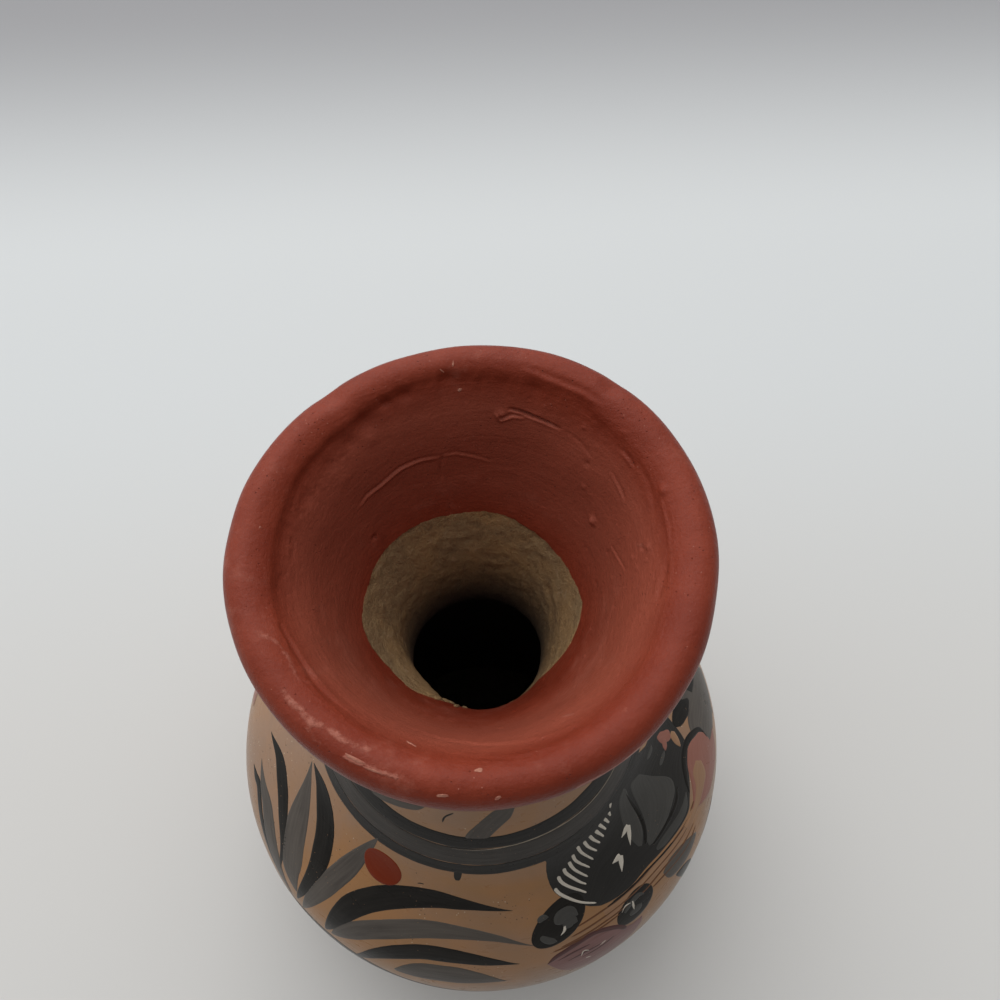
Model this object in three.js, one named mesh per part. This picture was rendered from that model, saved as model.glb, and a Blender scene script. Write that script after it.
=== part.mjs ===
// Hand-built pottery vase: a round belly, a waisted neck and a flared mouth with a rolled lip.
// The potter makes it in six sections of soft clay and lutes them together with slip, one on
// another: a base slab, two press-moulded half bowls, a neck, a mouth funnel and a lip roll.
// Each section below is one closed solid, and it seats on the one beneath with a lapped seam.
// Units are millimetres. The vase stands on the table at z = 0, and its axis is the Z axis.
import * as THREE from "three";
import { mergeVertices } from "three/addons/utils/BufferGeometryUtils.js";

// Heights of the form, each counted up from the one before it.
const bellyHeight = 65.7;
const shoulderRise = 26.3;
const neckFootRise = 24.4;
const waistRise = 51.6;
const mouthRise = 57.5;

// Outside radii at those heights. The shoulder is given by how far it draws in from the belly.
const footRadius = 41;
const bellyRadius = 78.3;
const shoulderDraw = 6.3;
const neckFootRadius = 49;
const waistRadius = 27.5;
const mouthRadius = 44;

// How fast the outside radius grows with height there. It is level at the belly and the waist.
const footSlope = 1.2;
const shoulderSlope = -0.74;
const neckFootSlope = -0.38;
const mouthSlope = 0.45;

// The inside of the mouth funnel. The red slip ends in the throat, well above the waist, and
// the crease lies a little inside the mouth's outer edge.
const throatRise = 28.4;
const throatRadius = 25.4;
const throatSlope = 0.5;
const creaseInset = 3;
const creaseSlope = 0.7;
const creaseWidth = 1;
const creaseDrop = 2.4;

// The rolled lip: how far it stands out from the mouth and up from its seat.
const lipOverhang = 6;
const lipRise = 9;

// The wall, measured square to its surface. It thickens up the neck, because the clay was
// squeezed in to make the waist.
const wall = 7;
const waistWall = 10.5;

// The base slab: its edge, the raised middle that locates the lower bowl, and the flat ring that
// it stands on, round a shallow hollow.
const slabEdge = 7;
const slabStep = 3;
const standingWidth = 8.5;
const slabHollowDepth = 1.6;
const footRounding = 1.5;

// Every seam is a lap: a tongue inside, a skirt outside, and a film of slip between them.
const neckSeamRise = 50;
const lapHeight = 3.5;
const slipFilm = 0.3;

// The mouth was turned by hand, so it is a little out of round and its crest rises and falls.
const ovalPush = 0.35;
const threeSidedPush = 0.45;
const crestWave = 0.5;
const fullestTowards = THREE.MathUtils.degToRad(45);

// How finely the round forms are cut into facets.
const sidesAround = 48;
const stepHeight = 8;
const roundingSteps = 4;

const shoulderHeight = bellyHeight + shoulderRise;
const neckFootHeight = shoulderHeight + neckFootRise;
const neckSeamHeight = neckFootHeight + neckSeamRise;
const waistHeight = neckFootHeight + waistRise;
const throatHeight = waistHeight + throatRise;
const mouthHeight = waistHeight + mouthRise;
const lipTop = mouthHeight + lipRise;
const creaseHeight = lipTop - creaseDrop;
const creaseRadius = mouthRadius - creaseInset;
const shoulderRadius = bellyRadius - shoulderDraw;
const slabTop = slabEdge + slabStep;

// A smooth curve of radius against height through stations of [height, radius, slope].
function curveThrough(stations) {
  const lastSpan = stations.length - 2;
  return (z) => {
    const above = stations.findIndex((station) => z <= station[0]);
    const i = above < 0 ? lastSpan : Math.max(0, above - 1);
    const [z0, r0, slope0] = stations[i];
    const [z1, r1, slope1] = stations[i + 1];
    const span = z1 - z0;
    const t = (z - z0) / span;
    const rise = t * t * (3 - 2 * t);
    const leave = t * (1 - t) * (1 - t) * span;
    const arrive = t * t * (1 - t) * span;
    return r0 + (r1 - r0) * rise + slope0 * leave - slope1 * arrive;
  };
}

const outside = curveThrough([
  [0, footRadius, footSlope],
  [bellyHeight, bellyRadius, 0],
  [shoulderHeight, shoulderRadius, shoulderSlope],
  [neckFootHeight, neckFootRadius, neckFootSlope],
  [waistHeight, waistRadius, 0],
  [mouthHeight, mouthRadius, mouthSlope],
]);

const funnelInside = curveThrough([
  [waistHeight, waistRadius - waistWall, 0],
  [throatHeight, throatRadius, throatSlope],
  [creaseHeight, creaseRadius, creaseSlope],
]);

// Up to the waist the wall's thickness is square to its surface, so it measures more along a
// radius where it leans. Above the waist the funnel's inside has a curve of its own.
function inside(z) {
  if (z > waistHeight) {
    return funnelInside(z);
  }
  const probe = 0.5;
  const lean = (outside(z + probe) - outside(z - probe)) / (2 * probe);
  const upTheNeck = THREE.MathUtils.smoothstep(z, neckFootHeight, waistHeight);
  const thickness = THREE.MathUtils.lerp(wall, waistWall, upTheNeck);
  return outside(z) - thickness * Math.hypot(1, lean);
}

const point = (radius, height) => new THREE.Vector2(radius, height);

// Points along one face of the wall, from one height to another, in even steps.
function wallFace(radiusAt, from, to) {
  const steps = Math.max(1, Math.round(Math.abs(to - from) / stepHeight));
  return Array.from({ length: steps + 1 }, (_, i) => {
    const z = THREE.MathUtils.lerp(from, to, i / steps);
    return point(radiusAt(z), z);
  });
}

// The middle of the wall at a seam, where the tongue below meets the skirt above.
const lapRadius = (seam) => (outside(seam) + inside(seam + lapHeight)) / 2;

// The top of a section, drawn inwards: its outer half stops at the seam, and its inner half
// stands up as a tongue.
function tongue(seam) {
  const r = lapRadius(seam) - slipFilm / 2;
  return [point(r, seam), point(r, seam + lapHeight)];
}

// The foot of a section, drawn outwards: its outer half hangs down as a skirt round the tongue.
function skirt(seam) {
  const r = lapRadius(seam) + slipFilm / 2;
  return [point(r, seam + lapHeight), point(r, seam)];
}

// A quarter of an ellipse that leaves the first point upright and reaches the second level.
// Both of its ends are left out.
function quarterRound(from, to) {
  return Array.from({ length: roundingSteps - 1 }, (_, i) => {
    const turn = (Math.PI / 2) * ((i + 1) / roundingSteps);
    const r = THREE.MathUtils.lerp(from.x, to.x, 1 - Math.cos(turn));
    const z = THREE.MathUtils.lerp(from.y, to.y, Math.sin(turn));
    return point(r, z);
  });
}

// The base slab is a pressed disc with a shallow hollow below, so it stands on a flat ring. The
// lower bowl stands on its edge, round its raised middle.
function baseSlab() {
  const standing = point(footRadius - footRounding, 0);
  const hollow = point(standing.x - standingWidth, 0);
  const rounded = point(outside(footRounding), footRounding);
  const raisedRadius = inside(slabTop) - slipFilm;
  return [
    point(0, slabHollowDepth),
    point(hollow.x - slabHollowDepth, slabHollowDepth),
    hollow,
    standing,
    ...quarterRound(rounded, standing).reverse(),
    rounded,
    point(outside(slabEdge), slabEdge),
    point(raisedRadius, slabEdge),
    point(raisedRadius, slabTop),
    point(0, slabTop),
  ];
}

// The lower half bowl ends at the widest of the belly.
function lowerBowl() {
  return [
    ...wallFace(outside, slabEdge, bellyHeight),
    ...tongue(bellyHeight),
    ...wallFace(inside, bellyHeight + lapHeight, slabTop),
    point(inside(slabTop), slabEdge),
  ];
}

// The upper half bowl and the neck are rings of wall between two lapped seams.
function wallRing(lowerSeam, upperSeam) {
  return [
    ...wallFace(outside, lowerSeam, upperSeam),
    ...tongue(upperSeam),
    ...wallFace(inside, upperSeam + lapHeight, lowerSeam + lapHeight),
    ...skirt(lowerSeam),
  ];
}

// The lip is seated on the outer half of the mouth's edge, which is level.
const seatRadius = (mouthRadius + inside(mouthHeight)) / 2;

// The mouth funnel flares from the neck to the edge that carries the lip roll. Its inside runs
// on up behind the roll, thinning as it goes, and ends at the crease.
function mouthFunnel() {
  return [
    ...wallFace(outside, neckSeamHeight, mouthHeight),
    point(seatRadius, mouthHeight),
    point(creaseRadius + creaseWidth, creaseHeight),
    ...wallFace(inside, creaseHeight, neckSeamHeight + lapHeight),
    ...skirt(neckSeamHeight),
  ];
}

// The lip roll is a soft coil laid on the edge of the mouth. Its section climbs from the edge
// round the widest place and over the crest, and drops to the crease.
function lipRoll() {
  const edge = point(mouthRadius, mouthHeight);
  const widest = point(mouthRadius + lipOverhang, mouthHeight + lipRise / 2);
  const crest = point((creaseRadius + mouthRadius + lipOverhang) / 2, lipTop);
  const crease = point(creaseRadius + creaseWidth + slipFilm, creaseHeight);
  return [
    edge,
    ...quarterRound(widest, edge).reverse(),
    widest,
    ...quarterRound(widest, crest),
    crest,
    ...quarterRound(crease, crest).reverse(),
    crease,
    point(seatRadius + slipFilm, mouthHeight),
  ];
}

// How far the hand pushed the wall out or in at one place. It grows from nothing at the neck's
// foot to its full size at the lip.
function handPush(angle, z) {
  const share = THREE.MathUtils.smoothstep(z, neckFootHeight, lipTop);
  const oval = ovalPush * Math.cos(2 * (angle - fullestTowards));
  const threeSided = threeSidedPush * Math.cos(3 * (angle - fullestTowards));
  return share * (oval + threeSided);
}

// The crest of the lip rises and falls, and the edge that it sits on stays level.
function crestLift(angle, z) {
  const share = THREE.MathUtils.smoothstep(z, mouthHeight, lipTop);
  return share * crestWave * Math.sin(2 * (angle - fullestTowards));
}

// Turns an outline of radius and height about the axis, then works it by hand.
function turned(outline) {
  const startsOnAxis = outline[0].x === 0;
  const profile = startsOnAxis ? outline : [...outline, outline[0].clone()];
  const lathe = new THREE.LatheGeometry(profile, sidesAround);
  lathe.deleteAttribute("normal");
  lathe.deleteAttribute("uv");
  lathe.rotateX(Math.PI / 2);
  const geometry = mergeVertices(lathe, 1e-3);
  const corners = geometry.getAttribute("position");
  const corner = new THREE.Vector3();
  for (let i = 0; i < corners.count; i++) {
    corner.fromBufferAttribute(corners, i);
    const radius = Math.hypot(corner.x, corner.y);
    if (radius > 0) {
      const angle = Math.atan2(corner.y, corner.x);
      const grown = (radius + handPush(angle, corner.z)) / radius;
      const lifted = corner.z + crestLift(angle, corner.z);
      corners.setXYZ(i, corner.x * grown, corner.y * grown, lifted);
    }
  }
  geometry.computeVertexNormals();
  return geometry;
}

// Burnished buff clay outside, red slip in the mouth, and bare clay under the foot.
const buffClay = new THREE.MeshStandardMaterial({
  color: new THREE.Color(0.43, 0.3, 0.18),
  roughness: 0.38,
  metalness: 0,
});
const redSlip = new THREE.MeshStandardMaterial({
  color: new THREE.Color(0.3, 0.05, 0.028),
  roughness: 0.45,
  metalness: 0,
});
const bareClay = new THREE.MeshStandardMaterial({
  color: new THREE.Color(0.37, 0.29, 0.19),
  roughness: 0.85,
  metalness: 0,
});

function section(name, outline, material) {
  const mesh = new THREE.Mesh(turned(outline), material);
  mesh.name = name;
  return mesh;
}

const vase = new THREE.Group();
vase.name = "pottery_vase";
vase.add(section("base_slab", baseSlab(), bareClay));
vase.add(section("lower_bowl", lowerBowl(), buffClay));
vase.add(section("upper_bowl", wallRing(bellyHeight, neckFootHeight), buffClay));
vase.add(section("neck", wallRing(neckFootHeight, neckSeamHeight), buffClay));
vase.add(section("mouth_funnel", mouthFunnel(), redSlip));
vase.add(section("lip_roll", lipRoll(), redSlip));

export default vase;
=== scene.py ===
# %% [markdown]
# A hand-built pottery vase
#
# This lesson dresses the plain solids of a burnished clay vase. The potter built it from six
# sections, rubbed it smooth with a stone, covered the mouth in red slip and painted the body with
# traditional bands, brush leaves, blossoms and dots. We keep the form that the solids give, and
# add what the hand left behind: soft unevenness, grooves, nicks, and slip that lies on the clay.

# %% Load the frame
import math

import bpy
import numpy as np
from mathutils import Matrix, Vector, noise
from mathutils.bvhtree import BVHTree


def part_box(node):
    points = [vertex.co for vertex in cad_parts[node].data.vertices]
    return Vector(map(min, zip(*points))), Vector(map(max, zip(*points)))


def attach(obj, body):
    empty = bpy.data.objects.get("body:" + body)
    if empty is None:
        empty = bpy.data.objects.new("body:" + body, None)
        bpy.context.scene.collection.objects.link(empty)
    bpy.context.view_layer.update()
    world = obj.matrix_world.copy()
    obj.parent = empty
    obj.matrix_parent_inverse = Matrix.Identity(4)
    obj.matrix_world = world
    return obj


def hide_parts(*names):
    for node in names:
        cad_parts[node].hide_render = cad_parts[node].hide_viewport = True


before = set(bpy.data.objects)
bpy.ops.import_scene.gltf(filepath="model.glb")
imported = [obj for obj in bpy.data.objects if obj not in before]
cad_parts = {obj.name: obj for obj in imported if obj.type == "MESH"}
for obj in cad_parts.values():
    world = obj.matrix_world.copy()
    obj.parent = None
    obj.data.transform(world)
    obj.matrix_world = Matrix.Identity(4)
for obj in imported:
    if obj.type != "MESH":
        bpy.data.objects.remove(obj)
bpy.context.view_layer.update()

MM = 0.001

# %% [markdown]
# The camera comes first, because many painted strokes are placed by where they are seen. Its place
# was found by fitting the rings of the vase: the lip, the edge of the red slip and the painted
# band. It stands close above the mouth and a little in front, so it looks steeply down.

# %% The camera
PICTURE_SIDE = 1000
FOCAL_PIXELS = 1075
SENSOR_MM = 36
LIP_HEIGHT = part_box("lip_roll")[1].z / MM
EYE_IN_FRONT = 83.55
EYE_ABOVE_LIP = 197.8
EYE = Vector((0, -EYE_IN_FRONT, LIP_HEIGHT + EYE_ABOVE_LIP))
LOOK_DOWN = math.radians(64.62)
TURN_RIGHT = math.radians(3.81)
ROLL = math.radians(0.36)


def camera_axes():
    """The directions that are right, up and forward in the picture."""
    forward = Vector((math.sin(TURN_RIGHT) * math.cos(LOOK_DOWN),
                      math.cos(TURN_RIGHT) * math.cos(LOOK_DOWN),
                      -math.sin(LOOK_DOWN)))
    level = Vector((math.cos(TURN_RIGHT), -math.sin(TURN_RIGHT), 0))
    upright = level.cross(forward)
    right = level * math.cos(ROLL) + upright * math.sin(ROLL)
    up = upright * math.cos(ROLL) - level * math.sin(ROLL)
    return right, up, forward


RIGHT, UP, FORWARD = camera_axes()
camera = bpy.data.objects.new("camera", bpy.data.cameras.new("camera"))
camera.data.sensor_width = SENSOR_MM
camera.data.lens = SENSOR_MM * FOCAL_PIXELS / PICTURE_SIDE
turned = Matrix((RIGHT, UP, -FORWARD)).transposed()
camera.matrix_world = Matrix.Translation(EYE * MM) @ turned.to_4x4()
camera.data.clip_start = 0.01
bpy.context.scene.collection.objects.link(camera)
bpy.context.scene.camera = camera
print("The lens is", round(camera.data.lens, 1), "mm")


# %% [markdown]
# The solids are cut into flat facets, and a burnished pot shows every facet in its gloss. So we
# read the corners of the facets, row by row, and lay a smooth curve through them. A place on the
# vase is then two numbers: how far round it lies, and how high. Round is an angle that is 0 at the
# front, a quarter turn on the right, and half a turn at the back.

# %% Read the rows of corners
WALL_NODES = ("lower_bowl", "upper_bowl", "neck", "mouth_funnel")
LEAST_FACING = 0.3
LARGEST_STEP = 2.0


def from_front(x, y):
    """The angle round the vase: 0 at the front, positive towards the right."""
    return np.arctan2(x, -np.asarray(y))


def meridians_of(name):
    """How many lines of corners the turned solid has round it."""
    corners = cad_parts[name].data.vertices
    angles = {round(math.degrees(from_front(c.co.x, c.co.y)), 1) % 360 for c in corners}
    return len(angles)


MERIDIANS = meridians_of("lower_bowl")


def meridian_of(corner):
    turn = from_front(corner.x, corner.y) / (2 * math.pi)
    return round(float(turn) * MERIDIANS) % MERIDIANS


def wall_rows(facing):
    """Heights and radii of the level rows of corners, on the wall's outside (1) or inside (-1)."""
    rows = {}
    for name in WALL_NODES:
        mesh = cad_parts[name].data
        for face in mesh.polygons:
            outward = Vector((face.center.x, face.center.y, 0)).normalized()
            if facing * face.normal.dot(outward) < LEAST_FACING:
                continue
            for index in face.vertices:
                corner = mesh.vertices[index].co / MM
                row = rows.setdefault(round(corner.z, 1), {})
                radius = math.hypot(corner.x, corner.y)
                at = meridian_of(corner)
                row[at] = facing * max(facing * radius, facing * row.get(at, radius))
    whole = sorted(z for z, row in rows.items() if len(row) == MERIDIANS)
    radii = np.array([[rows[z][at] for at in range(MERIDIANS)] for z in whole])
    return np.array(whole), radii


def without_laps(heights, radii):
    """Leaves out the rows that belong to the lapped seams, which stand away from the wall."""
    while True:
        middle = radii.mean(axis=1)
        share = (heights[1:-1] - heights[:-2]) / (heights[2:] - heights[:-2])
        between = middle[:-2] + (middle[2:] - middle[:-2]) * share
        off = np.abs(middle[1:-1] - between)
        worst = int(off.argmax())
        if off[worst] < LARGEST_STEP:
            return heights, radii
        heights = np.delete(heights, worst + 1)
        radii = np.delete(radii, worst + 1, axis=0)


outer_rows = without_laps(*wall_rows(1))
inner_rows = without_laps(*wall_rows(-1))
print("Rows outside", len(outer_rows[0]), "inside", len(inner_rows[0]), "meridians", MERIDIANS)

# %% A smooth curve through what was read
WAVES_KEPT = 4


def harmonics(samples):
    """The first few waves of evenly spaced samples round the vase."""
    return (np.fft.rfft(samples) / np.shape(samples)[-1])[..., : WAVES_KEPT + 1]


def from_harmonics(waves, angle):
    order = np.arange(WAVES_KEPT + 1)
    weights = np.where(order == 0, 1, 2)
    return np.real(waves * weights * np.exp(1j * order * np.asarray(angle)[..., None])).sum(-1)


def even_slopes(heights, values):
    """Slopes at the rows that make a piecewise cubic bend evenly, with no kink in its curvature."""
    steps = np.diff(heights)
    rises = np.diff(values, axis=0) / steps[:, None]
    count = len(heights)
    matrix = np.eye(count, dtype=complex)
    wanted = np.zeros_like(values)
    wanted[0] = rises[0]
    wanted[-1] = rises[-1]
    for i in range(1, count - 1):
        before = 1 / steps[i - 1]
        after = 1 / steps[i]
        matrix[i, i - 1 : i + 2] = before, 2 * (before + after), after
        wanted[i] = 3 * (rises[i - 1] * before + rises[i] * after)
    return np.linalg.solve(matrix, wanted)


def cubic_shares(t):
    """How much the end, the slope at the start and the slope at the end count along a cubic."""
    return t * t * (3 - 2 * t), t * (1 - t) ** 2, t * t * (1 - t)


def smooth_wall(heights, radii):
    """A function that gives the wall's radius at any angle and height."""
    waves = harmonics(radii)
    slopes = even_slopes(heights, waves)

    def radius_at(angle, z):
        angle, z = np.broadcast_arrays(angle, z)
        i = np.clip(np.searchsorted(heights, z) - 1, 0, len(heights) - 2)
        step = heights[i + 1] - heights[i]
        rise, leave, arrive = cubic_shares(((z - heights[i]) / step)[..., None])
        bend = (slopes[i] * leave - slopes[i + 1] * arrive) * step[..., None]
        return from_harmonics(waves[i] * (1 - rise) + waves[i + 1] * rise + bend, angle)

    return radius_at


outer_wall = smooth_wall(*outer_rows)
print("Outside radius at half height", round(float(outer_wall(0, LIP_HEIGHT / 2)), 1))

# %% [markdown]
# The lip is a coil, so its rows aren't level. We read it one meridian at a time instead: where its
# crest, its widest place, its crease and its lower edge lie. The smooth lip then runs through these
# with four rounded quarters, and the inside wall gets the crease as its last row.

# %% Read the rolled lip
CREASE_FLOOR = 1.3
LOWEST_BAND = 0.1


def corners_by_meridian(name):
    lists = [[] for _ in range(MERIDIANS)]
    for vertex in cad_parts[name].data.vertices:
        corner = vertex.co / MM
        lists[meridian_of(corner)].append((math.hypot(corner.x, corner.y), corner.z))
    return lists


def around(pick):
    """The radius and height, at any angle, of the corner that pick chooses on each meridian."""
    chosen = np.array([pick(corners) for corners in corners_by_meridian("lip_roll")])
    waves = harmonics(chosen.T)
    return lambda angle: (from_harmonics(waves[0], angle), from_harmonics(waves[1], angle))


def upper_half(corners):
    middle = sum(z for _, z in corners) / len(corners)
    return [c for c in corners if c[1] > middle]


def lowest(corners):
    foot = min(z for _, z in corners)
    return [c for c in corners if c[1] < foot + LOWEST_BAND]


crest_at = around(lambda corners: max(corners, key=lambda c: c[1]))
widest_at = around(lambda corners: max(corners))
crease_at = around(lambda corners: min(upper_half(corners)))
edge_at = around(lambda corners: max(lowest(corners)))
reading_angles = 2 * np.pi * np.arange(MERIDIANS) / MERIDIANS
crease_radius, crease_height = crease_at(reading_angles)
inner_heights = np.append(inner_rows[0], crease_height.mean())
inner_radii = np.vstack([inner_rows[1], crease_radius - CREASE_FLOOR])
inner_wall = smooth_wall(inner_heights, inner_radii)
print("The lip is widest at", round(float(widest_at(0)[0]), 1), "mm from the axis")

# %% [markdown]
# Now the path of the potter's hand: up the outside, over the lip, down into the mouth and along the
# inside to the floor. Each step of the path is one ring of points. Keeping the path in one piece
# lets the sections share their rings, so no seam shows once the pot is burnished.

# %% The heights of the seams
SIDES = 600
OUTER_STEP = 2.0
FUNNEL_STEP = 0.4
NECK_STEP = 1.6
DEEP_STEP = 4.0
QUARTER_STEPS = 14
SLIP_EDGE_OUTSIDE = 228.7
angles = 2 * np.pi * np.arange(SIDES) / SIDES


def top_of(name):
    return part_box(name)[1].z / MM


def foot_of(name):
    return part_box(name)[0].z / MM


SECTIONS = ("lower_bowl", "upper_bowl", "neck", "mouth_funnel")
outer_seams = [foot_of(name) for name in SECTIONS] + [foot_of("lip_roll")]
inner_seams = [top_of("neck"), top_of("upper_bowl"), top_of("lower_bowl"), top_of("base_slab")]
print("Seams outside", [round(z, 1) for z in outer_seams], "inside", [round(z, 1) for z in inner_seams])


def evenly(start, stop, step):
    count = max(1, round(abs(stop - start) / step))
    return np.linspace(start, stop, count + 1)


def ring(radius, height):
    """Points round the vase. The radius and the height may each be one number or one per point."""
    radius, height = np.broadcast_to(radius, SIDES), np.broadcast_to(height, SIDES)
    return np.stack([radius * np.sin(angles), -radius * np.cos(angles), height], -1)


# %% [markdown]
# To put a mark where the picture shows it, we send a ray from the camera through a pixel and see
# where it meets the vase. A plain skin of rings catches the rays. Pixels count from the top left
# corner of a picture 1000 pixels wide.

# %% Rays through the picture
NUDGE = 0.004
MOST_NUDGES = 60


def ray_catcher(rings):
    """A plain skin over some rings, for rays to meet."""
    rows, sides = rings.shape[:2]
    faces = [(j * sides + i, j * sides + (i + 1) % sides,
              (j + 1) * sides + (i + 1) % sides, (j + 1) * sides + i)
             for j in range(rows - 1) for i in range(sides)]
    return BVHTree.FromPolygons([Vector(p) for p in rings.reshape(-1, 3)], faces)


def ray_to(pixel):
    across = (pixel[0] - PICTURE_SIDE / 2) / FOCAL_PIXELS
    down = (pixel[1] - PICTURE_SIDE / 2) / FOCAL_PIXELS
    return (FORWARD + RIGHT * across - UP * down).normalized()


def met(catcher, pixel):
    """Where a pixel's ray meets a skin, and the direction that the skin faces there.

    A pixel that just misses the skin is moved inwards and outwards in the picture until it meets it.
    """
    middle = PICTURE_SIDE / 2
    for nudge in range(MOST_NUDGES):
        for way in (-1, 1):
            share = 1 + way * nudge * NUDGE
            nudged = middle + (pixel[0] - middle) * share, middle + (pixel[1] - middle) * share
            point, normal, _, _ = catcher.ray_cast(EYE, ray_to(nudged))
            if point is not None:
                return point, normal
    raise ValueError(f"No skin is seen near pixel {pixel}")


# %% [markdown]
# The red slip was poured or brushed into the mouth, and it ends in the throat in an uneven line. The
# pixels follow that line round the back. On the near side the slip ran down over the edge of the
# bore, out of sight, so there the line is given by places. The raw clay below isn't even either: it
# bulges in on the near left, and where the neck was luted on, a ring of clay stands in a little.

# %% The bore, and the edge of the slip in the throat
LEDGE_ANGLE = math.radians(-54)
LEDGE_SPREAD = 0.6
LEDGE_HEIGHT = 181.0
LEDGE_TALL = 7.0
LEDGE_IN = 2.0
LUTE_HEIGHT = 157.0
LUTE_TALL = 11.0
LUTE_IN = 1.3


def bore(angle, z):
    """The inside wall with the bulges that the potter's hand left in the throat."""
    aside = np.angle(np.exp(1j * (angle - LEDGE_ANGLE)))
    ledge = LEDGE_IN * np.exp(-((aside / LEDGE_SPREAD) ** 2) - ((z - LEDGE_HEIGHT) / LEDGE_TALL) ** 2)
    lute = LUTE_IN * np.exp(-(((z - LUTE_HEIGHT) / LUTE_TALL) ** 2))
    return inner_wall(angle, z) - ledge - lute


EDGE_PIXELS = (
    (364, 605), (369, 587), (376, 565), (388, 547), (405, 532), (425, 522), (445, 516), (462, 513),
    (475, 512), (493, 513), (510, 518), (530, 529), (548, 545), (563, 562), (575, 585), (581, 602),
    (578, 622), (570, 642), (555, 662), (537, 680), (423, 693), (410, 687), (390, 668), (372, 647),
    (364, 625))
EDGE_PLACES = ((-20, 181), (-10, 177), (4, 175), (18, 178))
EDGE_WAVER = (0.3, 9.0, 0.3)
THROAT_HEIGHTS = np.arange(170.0, 215.0)
throat_catcher = ray_catcher(np.array([ring(bore(angles, z), z) for z in THROAT_HEIGHTS]))
edge_points = [met(throat_catcher, pixel)[0] for pixel in EDGE_PIXELS]
edge_list = [(float(from_front(p.x, p.y)), p.z) for p in edge_points]
edge_list += [(math.radians(degrees), z) for degrees, z in EDGE_PLACES]
edge_list = np.array(sorted(edge_list))
edge_heights = edge_list[:, 1]
print("The slip ends", edge_heights.min().round(1), "to", edge_heights.max().round(1), "mm up")

# %% The path, ring by ring
path = []
mark = {}


def follow(name, rings):
    """Adds rings to the path and remembers where its last one is."""
    path.extend(rings)
    mark[name] = len(path) - 1


def ragged(amount, size, seed):
    """A wavering line round the vase, as the edge of brushed slip is."""
    return np.array([amount * noise.fractal(
        Vector((math.sin(a), -math.cos(a), seed)) * size, 0.6, 2.0, 4) for a in angles])


inside_edge = np.interp(angles, *edge_list.T, period=2 * np.pi) + ragged(*EDGE_WAVER)
follow("foot", [ring(outer_wall(angles, outer_seams[0]), outer_seams[0])])
for name, low, high in zip(SECTIONS, outer_seams, outer_seams[1:]):
    follow(name, [ring(outer_wall(angles, z), z) for z in evenly(low, high, OUTER_STEP)[1:]])


def quarter(start, end, steps=QUARTER_STEPS):
    """A rounded quarter that leaves the first line upright and comes to the second one level."""
    turns = np.linspace(0, np.pi / 2, steps + 1)[1:]
    return [ring(start[0] + (end[0] - start[0]) * (1 - math.cos(t)),
                 start[1] + (end[1] - start[1]) * math.sin(t)) for t in turns]


crest, widest, edge = crest_at(angles), widest_at(angles), edge_at(angles)
under_lip = quarter(widest, edge)[-2::-1]
follow("under_lip", under_lip)
follow("widest", [ring(*widest)])
follow("crest", quarter(widest, crest))
print("Rings so far", len(path))

# %% [markdown]
# From the crest the path bends over into the funnel. A cubic curve joins the two, and it leaves
# both without a kink.

# %% Over the crest and down the inside
FOLD_STEPS = 22
FOLD_PLACE = 0.66
FOLD_DROP = 3.4
FUNNEL_PULL = 5.0
CREST_PULL = 5.5

fold_foot = crest[1] - FOLD_DROP
fold_foot_radius = inner_wall(angles, fold_foot)
funnel_lean = inner_wall(angles, fold_foot + 0.5) - inner_wall(angles, fold_foot - 0.5)
lean_length = np.hypot(funnel_lean, 1)
for t in np.linspace(0, 1, FOLD_STEPS + 1)[1:]:
    rise, leave, arrive = cubic_shares(t)
    radius = crest[0] + (fold_foot_radius - crest[0]) * rise
    radius = radius - CREST_PULL * leave + FUNNEL_PULL * arrive * funnel_lean / lean_length
    height = crest[1] + (fold_foot - crest[1]) * rise + FUNNEL_PULL * arrive / lean_length
    path.append(ring(radius, height))
mark["crease"] = len(path) - 1 - round(FOLD_STEPS * (1 - FOLD_PLACE))

for z in evenly(0, 1, FUNNEL_STEP / (LIP_HEIGHT - inside_edge.min()))[1:]:
    height = fold_foot + (inside_edge - fold_foot) * z
    path.append(ring(bore(angles, height), height))
mark["slip_edge"] = len(path) - 1
for z in evenly(0, 1, FUNNEL_STEP / (inside_edge.max() - inner_seams[0]))[1:]:
    height = inside_edge + (inner_seams[0] - inside_edge) * z
    path.append(ring(bore(angles, height), height))
mark["neck_inside"] = len(path) - 1
for name, high, low, step in zip(("upper_inside", "lower_inside", "floor"), inner_seams, inner_seams[1:],
                                 (NECK_STEP, DEEP_STEP, DEEP_STEP)):
    follow(name, [ring(bore(angles, z), z) for z in evenly(high, low, step)[1:]])
path = np.array(path)
print("The path has", len(path), "rings of", SIDES, "points")

# %% Catch the rays that look for painted strokes and for marks
COARSE_ROWS = 2
COARSE_SIDES = 4
body_catcher = ray_catcher(path[: mark["neck"] + 1 : COARSE_ROWS, ::COARSE_SIDES])
mouth_catcher = ray_catcher(path[mark["widest"] : mark["neck_inside"] + 1 : COARSE_ROWS, ::COARSE_SIDES])


RED_DOT = (382, 866.5)


def seen(pixel):
    """The place on the body that a pixel shows: its angle from the front, and its height."""
    point, _ = met(body_catcher, pixel)
    return float(from_front(point.x, point.y)), point.z


def place(degrees, height):
    """A place on the body that the picture doesn't show."""
    return math.radians(degrees), height


print("The red dot is seen at", [round(v, 2) for v in seen(RED_DOT)])

# %% [markdown]
# Clay worked by hand is never quite even. Soft hills and hollows come from noise that is read at
# each point. Outside they are faint, because the body was burnished with a stone. In the funnel the
# fingers left long ridges that run round, so there the noise is stretched along the turn. The raw
# clay of the throat is rough and gritty.

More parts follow.
